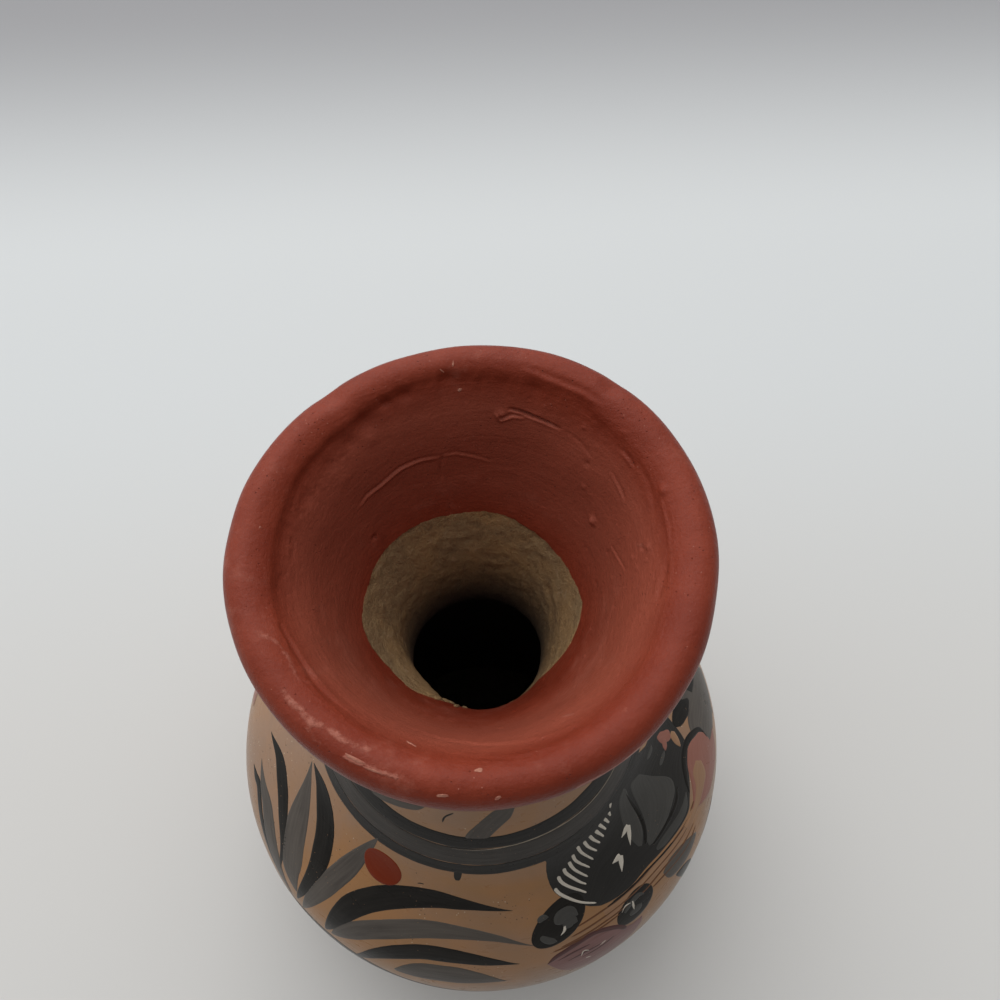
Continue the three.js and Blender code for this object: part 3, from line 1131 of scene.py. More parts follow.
# %% The bare clay of the throat and the foot
BARE = (0.31, 0.195, 0.085)
BARE_CLOUD = (0.25, 0.17, 0.085)
BARE_DARK = (0.15, 0.09, 0.045)
BARE_PALE = (0.42, 0.3, 0.18)
# The throat is painted darker from the first height down to the second: painted shade, where little light
# reaches deep inside.
PAINTED_SHADE_FROM = 189
PAINTED_SHADE_TO = 161
PAINTED_SHADE_SHARE = 0.95


def bare_clay_finish():
    material, tree, shader = new_finish("bare gritty clay", 0.9, 0.3)
    where = own_place(tree)
    mottle = add(tree, "ShaderNodeTexNoise", where, Scale=260.0, Detail=7.0, Roughness=0.72,
                 Distortion=0.4)
    height = add(tree, "ShaderNodeSeparateXYZ", where).outputs["Z"]
    # Painted shade: the throat gets darker further down.
    deep = ease(tree, height, PAINTED_SHADE_FROM * MM, PAINTED_SHADE_TO * MM, PAINTED_SHADE_SHARE)
    colour = clouded(tree, BARE, BARE_CLOUD, 60.0, 0.9)
    for shade, mask in ((BARE_DARK, ramp(tree, mottle, 0.5, 0.32, 0.75)),
                        (BARE_PALE, ramp(tree, mottle, 0.58, 0.74, 0.8)), (SOOT_AND_SHADE, deep)):
        colour = tint(tree, colour, shade, mask)
    feed(tree, shader["Base Color"], colour)
    scraped = use(tree, burnish, Turn=16.0, Tall=500.0, Contrast=1.0)
    fine = add(tree, "ShaderNodeTexNoise", where, Scale=480.0, Detail=8.0, Roughness=0.75)
    raise_surface(tree, shader, 0.0007, (fine, 0.8), (mottle, 1.0), (scraped, 0.8))
    return material


bare_clay = bare_clay_finish()


# %% [markdown]
# A section has more than one finish: buff outside, red or bare inside. Every ring of faces gets its
# finish by where it lies on the path, and because the rings follow the ragged edge of the slip, the
# border between two finishes is as crisp as a real one.

# %% Give each section its finishes
ring_heights = path_at_rest[: mark["widest"], :, 2].mean(axis=1)
slip_start = int(np.argmin(np.abs(ring_heights - SLIP_EDGE_OUTSIDE)))
slip_end = mark["slip_edge"]
FINISHES = (  # the finish, and its first ring and the ring where the next begins
    (red_slip, slip_start, slip_end),
    (buff_clay, 0, slip_start),
    (bare_clay, slip_end, len(path)),
)
for name, (_, _, stretches) in SKINS.items():
    rows = path_rows(stretches)
    finish_of = np.zeros(len(rows), np.int32)
    mesh = skins[name].data
    for material, first, last in FINISHES:
        on_it = (rows >= first) & (rows < last)
        if on_it.any():
            finish_of[on_it] = len(mesh.materials)
            mesh.materials.append(material)
    mesh.polygons.foreach_set("material_index", np.repeat(finish_of, SIDES))
foot_disc.data.materials.append(bare_clay)
print("The red slip starts at ring", slip_start, "and ends at ring", slip_end)


# %% [markdown]
# Painted slip lies on the clay as a thin film. Each brush stroke is a closed film whose rounded edges
# sink into the wall, so it catches the light along its edge as real slip does. A stroke is given by
# two edges, and both are rows of places on the body.

# %% A film of slip between two edges
FILM_LIFT = 0.05
LAYER_STEP = 0.04
STROKE_STEP = 0.0012
FILM_SINK = 0.12
FILM_EDGE = 0.6
ACROSS_STEP = 1.2
ALONG_STEP = 1.0
LIFTS = 12
EDGE_COLUMNS = 4
FEWEST_COLUMNS = 6
MM_PER_UV = 10
films = {}


def stroke_count():
    return sum(map(len, films.values()))


def lean_at(angle, z):
    """How much the outside radius grows per millimetre of height."""
    return outer_wall(angle, z + 0.5) - outer_wall(angle, z - 0.5)


def scales(places):
    """Millimetres round the body per radian, and along its slope per millimetre of height."""
    angle, z = places[..., 0], places[..., 1]
    return outer_wall(angle, z), np.hypot(1, lean_at(angle, z))


def body_points(angle, z, lift):
    """Points of the painted body, lifted off the clay by a film."""
    radius = outer_wall(angle, z)
    lean = lean_at(angle, z)
    length = np.hypot(1, lean)
    points = np.stack([radius * np.sin(angle), -radius * np.cos(angle), z], -1)
    facing_here = np.stack([np.sin(angle) / length, -np.cos(angle) / length, -lean / length], -1)
    return points + facing_here * (body_hills(points) + lift)[..., None]


def film(kind, side_a, side_b, layer=0, closed=False):
    """Adds a film to the strokes of one kind. The sides have as many places as each other."""
    side_a, side_b = np.asarray(side_a, float), np.asarray(side_b, float)
    strokes = films.setdefault(kind, [])
    middle = (side_a + side_b) / 2
    radius, slope = scales(middle)
    gap = side_b - side_a
    width = np.hypot(gap[:, 0] * radius, gap[:, 1] * slope)
    step = np.diff(middle, axis=0, prepend=middle[:1])
    along = np.cumsum(np.hypot(step[:, 0] * radius, step[:, 1] * slope))
    widest_gap = float(width.max())
    columns = max(FEWEST_COLUMNS, math.ceil(widest_gap / ACROSS_STEP) + EDGE_COLUMNS)
    v = (1 - np.cos(np.pi * np.arange(columns + 1) / columns)) / 2
    places = side_a[:, None] + gap[:, None] * v[None, :, None]
    lift = FILM_LIFT + LAYER_STEP * layer + STROKE_STEP * (stroke_count() % LIFTS)
    from_edge = np.minimum(v, 1 - v) * widest_gap
    rise = np.clip(from_edge / min(FILM_EDGE, widest_gap / 2), 0, 1)
    crown = lift * rise * (2 - rise)
    crown[[0, -1]] = -FILM_LIFT
    lifted = np.tile(crown, (len(places), 1))
    if not closed:
        lifted[[0, -1]] = -FILM_LIFT
    top = body_points(places[..., 0], places[..., 1], lifted)
    under = body_points(places[..., 0], places[..., 1], np.full_like(lifted, -FILM_SINK))
    uv = np.stack(np.broadcast_arrays(along[:, None] / MM_PER_UV, v * widest_gap / MM_PER_UV), -1)
    strokes.append((top, under, uv, closed))


# %% [markdown]
# Brush strokes bend, so their edges are worked out from a middle line. The line is smoothed through
# a few places. The brush is pressed down after the tip and lifted at the heel, which gives a leaf
# its shape, and a little wavering keeps the edges from looking cut.

# %% Brush strokes
WAVER = 0.09
WAVER_LENGTH = 5.0
TIP_SHARE = 0.1
TIP_POWER = 1.15
ROUGH_POINTS = 24
FEWEST_POINTS = 16
SEED_STEP = 3.7
OTHER_SIDE = 50
LARGEST_ANGLE = 2 * math.pi


def smoothed(places, count):
    """A smooth line through places, with that many points."""
    knots = np.asarray(places, float)
    if len(knots) == 2:
        return knots[0] + (knots[1] - knots[0]) * np.linspace(0, 1, count)[:, None]
    padded = np.vstack([2 * knots[0] - knots[1], knots, 2 * knots[-1] - knots[-2]])
    t = np.linspace(0, len(knots) - 1 - 1e-9, count)
    i = t.astype(int)
    f = (t - i)[:, None]
    p0, p1, p2, p3 = padded[i], padded[i + 1], padded[i + 2], padded[i + 3]
    return p1 + 0.5 * f * (p2 - p0 + f * (2 * p0 - 5 * p1 + 4 * p2 - p3 + f * (3 * (p1 - p2) + p3 - p0)))


def spread(line, half_width):
    """The two edges of a stroke along a line of places, at that distance on each side."""
    radius, slope = scales(line)
    run = np.gradient(line, axis=0)
    east, north = run[:, 0] * radius, run[:, 1] * slope
    length = np.hypot(east, north)
    aside = np.stack([-north / length / radius, east / length / slope], -1) * half_width[:, None]
    return line + aside, line - aside


def length_of(line):
    radius, slope = scales(line[1:])
    step = np.diff(line, axis=0)
    return float(np.hypot(step[:, 0] * radius, step[:, 1] * slope).sum())


def wavering(count, length, seed):
    return np.array([WAVER * noise.noise(Vector((length / WAVER_LENGTH * i / count, seed, 0.5)))
                     for i in range(count)])


def leaf_width(t, half_width, taper, heel, drawn_out, blunt):
    """A tip that swells over the first part, and a heel after the last part: round at a drawn_out
    of 0.5, and more pointed the larger it is. Blunt is the share of the width that the tip keeps."""
    swell = blunt + (1 - blunt) * np.sin(np.pi / 2 * np.clip(t / taper, 0, 1)) ** TIP_POWER
    closing = (1 - np.clip((t - heel) / (1 - heel), 0, 1) ** 2) ** drawn_out
    rounded = np.sqrt(1 - np.clip(1 - t / TIP_SHARE, 0, 1) ** 2) if blunt else 1
    return half_width * swell * closing * rounded


def brush(kind, places, half_width, taper=0.45, heel=0.75, layer=0, drawn_out=0.5, blunt=0.0):
    """One stroke from its tip to its heel, along places on the body."""
    rough = smoothed(places, ROUGH_POINTS)
    count = max(FEWEST_POINTS, round(length_of(rough) / ALONG_STEP))
    line = smoothed(places, count)
    t = np.linspace(0, 1, count)
    width = leaf_width(t, half_width, taper, heel, drawn_out, blunt)
    seed = stroke_count() * SEED_STEP
    edge = wavering(count, count * ALONG_STEP, seed) * np.clip(width, 0, 1)
    other = wavering(count, count * ALONG_STEP, seed + OTHER_SIDE) * np.clip(width, 0, 1)
    left, _ = spread(line, width + edge)
    _, right = spread(line, width + other)
    film(kind, left, right, layer)


def turned_by(places, turn):
    return [(angle + turn, height) for angle, height in places]


def through(pixels):
    """Places on the body for the pixels of a stroke. What is already a place stays as it is."""
    return [seen(p) if p[0] > LARGEST_ANGLE else p for p in pixels]


def stroke(kind, pixels, turn, half_width, *shape, **more):
    """A brush stroke through pixels or places, turned round the vase."""
    brush(kind, turned_by(through(pixels), turn), half_width, *shape, **more)


# %% [markdown]
# The leaves fan out from one point low on the shoulder, dark and grey by turns. Their middle lines
# are pixels, from tip to heel, and their widths are real. The heels of some leaves lie past the edge
# of what the picture shows, so those end in a place. Half a turn further round, the same ornament is
# painted again, as such vases have it, but without the leaves at the picture's edge.

# %% The leaf sprays
EDGE_LEAVES = (  # the kind, half the width, where it is full width, where the heel starts, its line
    ("leaves_dark", 1.5, 0.4, 0.6,
     ((254, 763), (256, 775), (259, 790), place(-66, 86), place(-55, 80))),
    ("leaves_grey", 3.3, 0.6, 0.75,
     ((262, 757), (263, 782), (267, 807), (270, 834), (275, 857), place(-52, 79))),
    ("leaves_dark", 2.5, 0.38, 0.45,
     ((271, 730), (279, 756), (282, 782), (283, 807), (283, 843), (281, 870))),
)
LEAVES = (
    ("leaves_grey", 4.6, 0.5, 0.62,
     ((312, 759), (305, 792), (297, 822), (292, 853), (291, 872), (297, 893))),
    ("leaves_dark", 3.6, 0.36, 0.6,
     ((313, 761), (321, 788), (325, 819), (322, 849), (312, 876), (297, 899))),
    ("leaves_grey", 3.6, 0.35, 0.5, ((379, 837), (352, 863), (330, 882), (313, 897), (302, 909))),
    ("leaves_dark", 4.1, 0.55, 0.7,
     ((515, 911), (470, 906), (432, 899), (394, 897), (362, 902), (340, 915), (325, 929))),
    ("leaves_grey", 3.5, 0.6, 0.75,
     ((537, 946), (494, 938), (451, 932), (413, 929), (372, 930), (347, 932), (331, 933))),
    ("leaves_dark", 2.9, 0.5, 0.65,
     ((521, 964), (490, 962), (451, 956), (413, 952), (376, 954), (352, 957))),
    ("leaves_grey", 4.6, 0.5, 0.7, ((508, 981), (480, 979), (450, 976), (420, 972), (393, 969))),
)
HANGING_LEAVES = (  # the kind, half the width, the tip and the bend as degrees from the front and height
    ("leaves_grey", 3.6, (-72, 50), (-66, 66)),
    ("leaves_dark", 3.4, (-58, 36), (-54, 58)),
    ("leaves_grey", 4.0, (-44, 31), (-45, 54)),
    ("leaves_dark", 3.4, (-29, 36), (-36, 57)),
    ("leaves_grey", 3.6, (-14, 48), (-27, 63)),
    ("leaves_dark", 3.2, (4, 62), (-17, 70)),
)
SPRAY_HEART = (-45, 79)
REPEATS = (0, math.radians(176))
for turn in REPEATS:
    for kind, half_width, taper, heel, line in LEAVES if turn else EDGE_LEAVES + LEAVES:
        stroke(kind, line, turn, half_width, taper, heel, 0, 1.0)
    for kind, half_width, tip, bend in HANGING_LEAVES:
        places = [place(*spot) for spot in (tip, bend, SPRAY_HEART)]
        stroke(kind, places, turn, half_width, 0.5, 0.7, 0, 1.0)
print("Leaf strokes:", stroke_count())

# %% [markdown]
# The bands run right round, at the neck's foot and again low on the belly: a dark line, a wider grey one
# and another dark line. Their edges waver as the brush does while the pot turns. A hairline of bare clay
# is left between the grey and the upper dark line, and one drip ran down from it. The hairline is drawn
# only on the front and the right, in a paler grey than the clay, as a painted highlight along the band's
# edge.

# %% Bands, drip and dots
BAND_WAVER = 0.35
BANDS = (  # the kind, and the heights of its lower and upper edge
    ("bands_dark", 115.9, 120.3), ("bands_grey", 120.1, 127.6), ("bands_dark", 127.5, 132.3),
    ("bands_dark", 18.5, 21.5), ("bands_grey", 21.3, 25.6), ("bands_dark", 25.4, 27.6),
)
BAND_POINTS = 400


def wavering_edge(height, seed):
    round_about = np.linspace(-np.pi, np.pi, BAND_POINTS, endpoint=False)
    wave = [BAND_WAVER * noise.fractal(Vector((math.sin(a) * 2, math.cos(a) * 2, seed)), 0.8, 2.2, 3)
            for a in round_about]
    return np.stack([round_about, height + np.array(wave)], -1)


for number, (kind, low, high) in enumerate(BANDS):
    edges = wavering_edge(low, number * 5.0), wavering_edge(high, number * 5.0 + 2.3)
    film(kind, *edges, layer=number % 3 == 1, closed=True)

# A painted highlight: a pale line on the front and the right only, paler and greyer than the bare clay.
HAIRLINE_AND_HIGHLIGHT = [place(degrees, 127.3 + 0.3 * math.sin(degrees / 9)) for degrees in range(-14, 74, 6)]
DRIP = ((461, 864), (458, 873), (457, 882))
FLICK = ((442, 823), (445, 817), (454, 813))
SPLASH = ((417, 884), (420, 884), (424, 885))
stroke("hairline", HAIRLINE_AND_HIGHLIGHT, 0, 0.22, 0.5, 0.95, 2)
stroke("bands_dark", DRIP, 0, 1.25, 0.02, 0.6)
stroke("bands_dark", FLICK, 0, 0.32, 0.3, 0.7)
stroke("bands_dark", SPLASH, 0, 0.22, 0.3, 0.7)


def dot(kind, pixel, turn, wide, tall, tilt, layer=0):
    """A round dab of slip. Sizes are half widths, and tilt turns it."""
    centre = np.array(turned_by([seen(pixel)], turn)[0])
    t = np.pi * np.linspace(0, 1, max(10, round(wide * 3)))
    x = -wide * np.cos(t)
    sides = []
    for up in (-tall * np.sin(t), tall * np.sin(t)):
        east = x * math.cos(tilt) - up * math.sin(tilt)
        north = x * math.sin(tilt) + up * math.cos(tilt)
        sides.append(centre + np.stack([east, north], -1) / np.stack(scales(centre)))
    film(kind, *sides, layer)


for turn in REPEATS:
    dot("dots_red", RED_DOT, turn, 6.5, 5.2, -0.3, 1)

# %% [markdown]
# On the neck above the band the brush left slanting grey strokes. The lip hides their upper ends.
# Two are seen in the picture, and the others follow round the back at even spaces.

# %% Strokes on the neck
SEEN_STROKE = ((516, 805), (498, 818), (480, 834), (474, 842))
SEEN_STROKE_LEFT = ((430, 803), (408, 802), (384, 794), (362, 780))
HIDDEN_STROKES = range(76, 300, 32)
HIDDEN_STROKE_PLACES = ((16, 156), (7, 145), (-3, 131))
stroke("neck_strokes_grey", SEEN_STROKE, 0, 3.1, 0.3, 0.93)
stroke("neck_strokes_grey", SEEN_STROKE_LEFT, 0, 2.9, 0.3, 0.93)
for degrees in HIDDEN_STROKES:
    places = [place(degrees + aside, height) for aside, height in HIDDEN_STROKE_PLACES]
    stroke("neck_strokes_grey", places, 0, 3.1, 0.5, 0.93)
print("Strokes after the neck:", stroke_count())


# %% [markdown]
# The blossom on the right is built up in layers: a broad dark ground, a grey heart-shaped petal with
# a dark vein, white comb strokes down its left side, two small white arrowheads, a red petal with a
# buff tongue, brown stems, and two dark buds. Broad shapes are films between two edges of pixels.

# %% The blossom
def patch(kind, side_a, side_b, turn, layer=0):
    """A broad film. Each side is a few pixels or places, from the same end to the other."""
    sides = through(side_a), through(side_b)
    length = max(length_of(smoothed(side, ROUGH_POINTS)) for side in sides)
    count = max(12, round(length / ALONG_STEP))
    sides = [smoothed(turned_by(side, turn), count) for side in sides]
    film(kind, *sides, layer)


GROUND_LEFT = (place(84, 122), (648, 740), (630, 762), (611, 788), (588, 822), (549, 856), (546.5, 864),
               (546.5, 873), (549.5, 884), (556, 894), (572, 902.5), (592, 906.5))
GROUND_RIGHT = (place(90, 112), (684, 738), (688, 765), (690, 797), (687, 815), (664, 849), (647, 867),
                (631, 886), (616, 898), (600, 906))
HEART_LEFT = ((640, 773), (631, 784), (632, 793), (638, 806), (645, 822), (647, 843))
HEART_RIGHT = ((650, 776), (669, 777), (675, 787), (673, 802), (660, 835), (648, 847))
INNER_LEAF_LEFT = ((624, 787), (619, 800), (620, 815), (628, 836), (640, 848))
INNER_LEAF_RIGHT = ((626, 788), (631, 800), (638, 815), (643, 830), (642, 848))
HEART_VEIN = ((626, 793), (632, 803), (640, 815), (645, 828), (646, 847))
HEART_RIM = ((677, 784), (676, 803), (664, 828), (652, 846))
HEART_SHADE = ((686, 790), (684, 810), (672, 830), (655, 851))
TOP_STROKES = (((652, 744), (651, 752), (647, 760)), ((665, 750), (663, 758), (660, 766)))
PETAL_LEFT = ((699, 731), (689, 745), (687, 764), (691, 781), (693, 797), (692, 812))
PETAL_RIGHT = ((702, 731), (711, 742), (715, 760), place(86, 88), place(80, 84), place(70, 86))
PETAL_RIM = ((708, 738), (699, 729), (688, 740), (684, 757), (686, 778), (690, 795))
TONGUE_LEFT = ((696, 758), (692, 772), (695, 786), (694, 802), (690, 816), (684, 830))
TONGUE_RIGHT = ((700, 758), (706, 772), (704, 786), (700, 802), (695, 816), (689, 830))
STEM_BAND_LEFT = ((687, 822), (672, 842), (654, 863), (636, 883), (619, 898), (602, 910))
STEM_BAND_RIGHT = ((694, 822), (682, 843), (664, 867), (644, 889), (626, 905), (606, 921))
STEMS = (
    ((688, 818), (676, 838), (656, 862), (638, 882), (618, 900), (598, 914), (576, 928)),
    ((691, 820), (680, 840), (660, 865), (641, 886), (620, 905), (600, 920), (570, 938)),
    ((694, 822), (684, 843), (664, 868), (645, 890), (622, 909), (596, 928), (560, 948)),
    ((696, 824), (688, 845), (668, 871), (652, 888)),
    ((622, 912), (604, 926), (580, 940), (552, 953)),
    ((690, 812), (694, 800), (697, 786)),
)
STEM_SHADOWS = (
    ((686, 824), (670, 846), (648, 870), (630, 889), (612, 902)),
    ((640, 878), (622, 896), (606, 908)),
)
COMB = (
    ((610.5, 808), (611, 803.5)),
    ((611, 816), (609, 812.5)),
    ((609.5, 823), (604.5, 819)),
    ((606.5, 829.5), (599, 824.7)),
    ((604.5, 837), (595.5, 831)),
    ((601, 843.5), (594, 840), (589.5, 836)),
    ((598, 851.5), (588.5, 847), (584, 841.5)),
    ((594.5, 860.2), (582, 853), (577.5, 846.5)),
    ((591.2, 868.4), (577, 861.8), (572.6, 854.7)),
    ((589.5, 877.6), (576.5, 871), (572, 867), (568.8, 861.8)),
    ((587.4, 884.5), (578.6, 881.5), (566.6, 873.8), (563.9, 868.4)),
    ((587.4, 892.9), (580.8, 890.7), (568.8, 886.9), (561.2, 882), (558, 876)),
    ((598.8, 902.7), (581.9, 902.4), (568.8, 898.4), (559, 893.5), (554.6, 888)),
)
ARROWHEADS = (
    ((628.6, 824.5), (621.5, 838.5), (630.5, 846)),
    ((620.8, 855), (612, 864), (621.9, 872.5)),
)
BUDS = (((560, 922.5), 10.3, 6.2, 0.6), ((636, 905.5), 7.6, 5.4, 0.3))
for turn in REPEATS:
    patch("blossom_ground", GROUND_LEFT, GROUND_RIGHT, turn)
    patch("blossom_grey", INNER_LEAF_LEFT, INNER_LEAF_RIGHT, turn, 1)
    patch("blossom_grey", HEART_LEFT, HEART_RIGHT, turn, 1)
    stroke("blossom_dark", HEART_VEIN, turn, 0.8, 0.3, 0.8, 2)
    stroke("blossom_dark", HEART_RIM, turn, 0.8, 0.3, 0.8, 2)
    stroke("blossom_grey", HEART_SHADE, turn, 1.7, 0.4, 0.8, 1, 1.0)
    for pixels in TOP_STROKES:
        stroke("blossom_grey", pixels, turn, 0.9, 0.4, 0.7, 1, 1.0)
    patch("petals_red", PETAL_LEFT, PETAL_RIGHT, turn, 1)
    stroke("blossom_dark", PETAL_RIM, turn, 1.3, 0.4, 0.6, 2, 1.0)
    patch("petal_tongues", TONGUE_LEFT, TONGUE_RIGHT, turn, 2)
    patch("petal_tongues", STEM_BAND_LEFT, STEM_BAND_RIGHT, turn, 0)
    for pixels in STEMS:
        stroke("stems_brown", pixels, turn, 0.36, 0.2, 0.9, 1)
    for pixels in STEM_SHADOWS:
        stroke("blossom_dark", pixels, turn, 0.42, 0.3, 0.6, 1)
    for pixels in COMB:
        stroke("white_strokes", pixels, turn, 0.64, 0.95, 0.9, 3, blunt=0.5)
    for apex, left_tail, right_tail in ARROWHEADS:
        stroke("white_strokes", (left_tail, apex), turn, 1.05, 0.8, 0.94, 3)
        stroke("white_strokes", (right_tail, apex), turn, 0.9, 0.7, 0.94, 4)
    for pixel, wide, tall, tilt in BUDS:
        dot("blossom_dark", pixel, turn, wide, tall, tilt)
print("Strokes after the blossom:", stroke_count())

# %% [markdown]
# Smaller strokes finish the group: grey swirls and a white tick in each bud, the pinkish petal that
# dips below what the picture shows, grey leaves on the far right, and the small red and buff dabs
# under the lip.

# %% Small strokes round the blossom
SWIRLS = (  # the pixels, and half the width
    (((579, 915), (570, 912), (561, 917), (558, 926)), 2.2),
    (((578, 921), (571, 921), (564, 928)), 1.9),
    (((549, 917), (543, 918), (538, 923)), 1.1),
    (((558, 941), (549, 941), (540, 937)), 1.3),
    (((645, 893), (638, 895), (630, 904), (624, 914)), 1.0),
    (((642, 902), (637, 908), (629, 915)), 1.4),
)
TICKS = (
    (((560.5, 936), (564.5, 930.5), (565, 925)), 0.55),
    (((634, 909.5), (632, 900)), 0.5),
    (((621.5, 913), (625, 906), (631, 902)), 0.22),
)
LOW_PETAL_TOP = ((547, 965), (558, 956), (579, 943), (598, 932), (617, 927), (627, 928))
LOW_PETAL_BOTTOM = (place(14, 85), place(18, 78), place(25, 74), place(32, 77), place(36, 82),
                    place(37, 86))
LOW_PETAL_STREAKS = (
    ((556, 962), (574, 952), (592, 943)),
    ((566, 962), (584, 953), (604, 942)),
    ((580, 958), (600, 947), (616, 934)),
)
EDGE_LEAF_LEFT = ((693, 664), (692, 688), (689, 706), (688, 722), (694, 742))
EDGE_LEAF_RIGHT = ((700, 666), (708, 690), (712, 710), (713, 728), (713, 742))
RED_DAB = ((657, 738), (664, 737), (671, 733))
RED_DAB_TAIL = ((664, 738), (666, 751))
BUFF_DAB = ((671, 731), (675, 738), (681, 747))
LOW_PETAL_FLECKS = (
    ((590, 950), (584, 951), (581, 956)),
    ((591, 956), (586, 958)),
    ((600, 945), (606, 940)),
)
FAR_LEAVES = (  # the kind, half the width, and its line
    ("leaves_grey", 4.2, ((663, 873), (672, 867), (685, 853), (697, 831))),
    ("leaves_dark", 3.2, (place(49, 86), place(53, 78), place(52, 64))),
    ("leaves_grey", 3.6, (place(71, 81), place(62, 70), place(55, 58))),
)
FAR_LEAVES_ONCE = (
    ("leaves_grey", 3.4, ((696, 668), (690, 690), (683, 712))),
    ("leaves_dark", 3.0, ((689, 697), (681, 712), (673, 727))),
    ("leaves_dark", 3.4, (place(98, 110), place(96, 97), place(90, 84))),
)
for turn in REPEATS:
    for pixels, half_width in SWIRLS:
        stroke("blossom_grey", pixels, turn, half_width, 0.4, 0.6, 2)
    for pixels, half_width in TICKS:
        stroke("white_strokes", pixels, turn, half_width, 0.6, 0.92, 3)
    patch("petals_low", LOW_PETAL_TOP, LOW_PETAL_BOTTOM, turn)
    for pixels in LOW_PETAL_STREAKS:
        stroke("petal_streaks", pixels, turn, 0.6, 0.4, 0.7, 1, 1.0)
    stroke("petal_streaks", LOW_PETAL_TOP, turn, 0.95, 0.2, 0.9, 2)
    for pixels in LOW_PETAL_FLECKS:
        stroke("white_strokes", pixels, turn, 0.25, 0.4, 0.8, 2, 1.0)
    for kind, half_width, line in FAR_LEAVES if turn else FAR_LEAVES + FAR_LEAVES_ONCE:
        stroke(kind, line, turn, half_width, 0.4, 0.6, 0, 1.0)
    stroke("petals_red", RED_DAB, turn, 2.0, 0.4, 0.7, 1)
    stroke("petals_red", RED_DAB_TAIL, turn, 1.2, 0.2, 0.5, 2, 1.0)
    stroke("petal_tongues", BUFF_DAB, turn, 1.5, 0.3, 0.5, 2, 1.0)
patch("leaves_grey", EDGE_LEAF_LEFT, EDGE_LEAF_RIGHT, 0)
print("Strokes in all:", stroke_count())


# %% [markdown]
# The films of one kind become one mesh. Each vertex carries where it lies along and across its
# stroke, as a UV map, so that the streaks of the brush can follow the stroke.

# %% Turn the films into pieces
def build_films(kind):
    points, uvs, faces = [], [], []
    for top, under, uv, closed in films[kind]:
        rows, columns = top.shape[:2]
        start = len(points)
        points.extend(top.reshape(-1, 3))
        points.extend(under.reshape(-1, 3))
        uvs.extend(uv.reshape(-1, 2))
        uvs.extend(uv.reshape(-1, 2))
        below = start + rows * columns
        last = rows if closed else rows - 1
        for j in range(last):
            k = (j + 1) % rows
            for i in range(columns - 1):
                quad = (j * columns + i, k * columns + i, k * columns + i + 1, j * columns + i + 1)
                faces.append([start + q for q in quad])
                faces.append([below + q for q in reversed(quad)])
            for i, order in ((0, 1), (columns - 1, -1)):
                side = [start + j * columns + i, below + j * columns + i,
                        below + k * columns + i, start + k * columns + i]
                faces.append(side[::order])
        if not closed:
            for j, order in ((0, -1), (rows - 1, 1)):
                for i in range(columns - 1):
                    end = [start + j * columns + i, below + j * columns + i,
                           below + j * columns + i + 1, start + j * columns + i + 1]
                    faces.append(end[::order])
    piece = new_piece(kind, np.array(points), faces)
    layer = piece.data.uv_layers.new(name="Brush")
    corner_vertex = np.zeros(len(piece.data.loops), np.int32)
    piece.data.loops.foreach_get("vertex_index", corner_vertex)
    layer.data.foreach_set("uv", np.array(uvs, np.float32)[corner_vertex].ravel())
    return piece


painted = {kind: build_films(kind) for kind in films}
for kind, piece in painted.items():
    print(kind, len(films[kind]), "strokes,", len(piece.data.polygons), "faces")


# %% [markdown]
# The paints are thin coloured clay. Where the brush ran dry the colour is lighter in streaks along
# the stroke, and the burnishing stone rubbed through it here and there, so the buff shows in small
# flecks. One group makes the streaks, and one function makes every paint from it.

# %% The brush-streak group
def streak_group():
    tree, given, out = new_group("brush streaks", "Streak", "NodeSocketFloat", Along=0.6, Across=9.0)
    parts = add(tree, "ShaderNodeSeparateXYZ", add(tree, "ShaderNodeUVMap", uv_map="Brush")).outputs
    scaled = add(tree, "ShaderNodeCombineXYZ", figure(tree, "MULTIPLY", parts["X"], given["Along"]),
                 figure(tree, "MULTIPLY", parts["Y"], given["Across"]))
    streaks = add(tree, "ShaderNodeTexNoise", scaled, Scale=1.0, Detail=4.0, Roughness=0.6)
    feed(tree, out, ramp(tree, streaks, 0.35, 0.68))
    return tree


brush_streaks = streak_group()


def paint_finish(name, colour, streak_colour, streak_share, roughness, flecks=0.04):
    """A slip paint: its colour, the colour where it lies thin, and how much of the streaks shows."""
    material, tree, shader = new_finish(name, roughness, 0.12)
    streaks = use(tree, brush_streaks, Along=0.5, Across=8.0)
    base = clouded(tree, colour, streak_colour, 40.0, 0.35)
    brushed = tint(tree, base, streak_colour, figure(tree, "MULTIPLY", streaks, streak_share))
    rubbed = use(tree, specks, Scale=700.0, Share=flecks, Softness=0.06)
    feed(tree, shader["Base Color"], tint(tree, brushed, BUFF, rubbed))
    tracks = use(tree, burnish, **BODY_TRACKS)
    vary_gloss(tree, shader, tracks, roughness)
    raise_surface(tree, shader, 0.0001, (tracks, 0.6), (streaks, 0.25), (rubbed, -0.5))
    return material


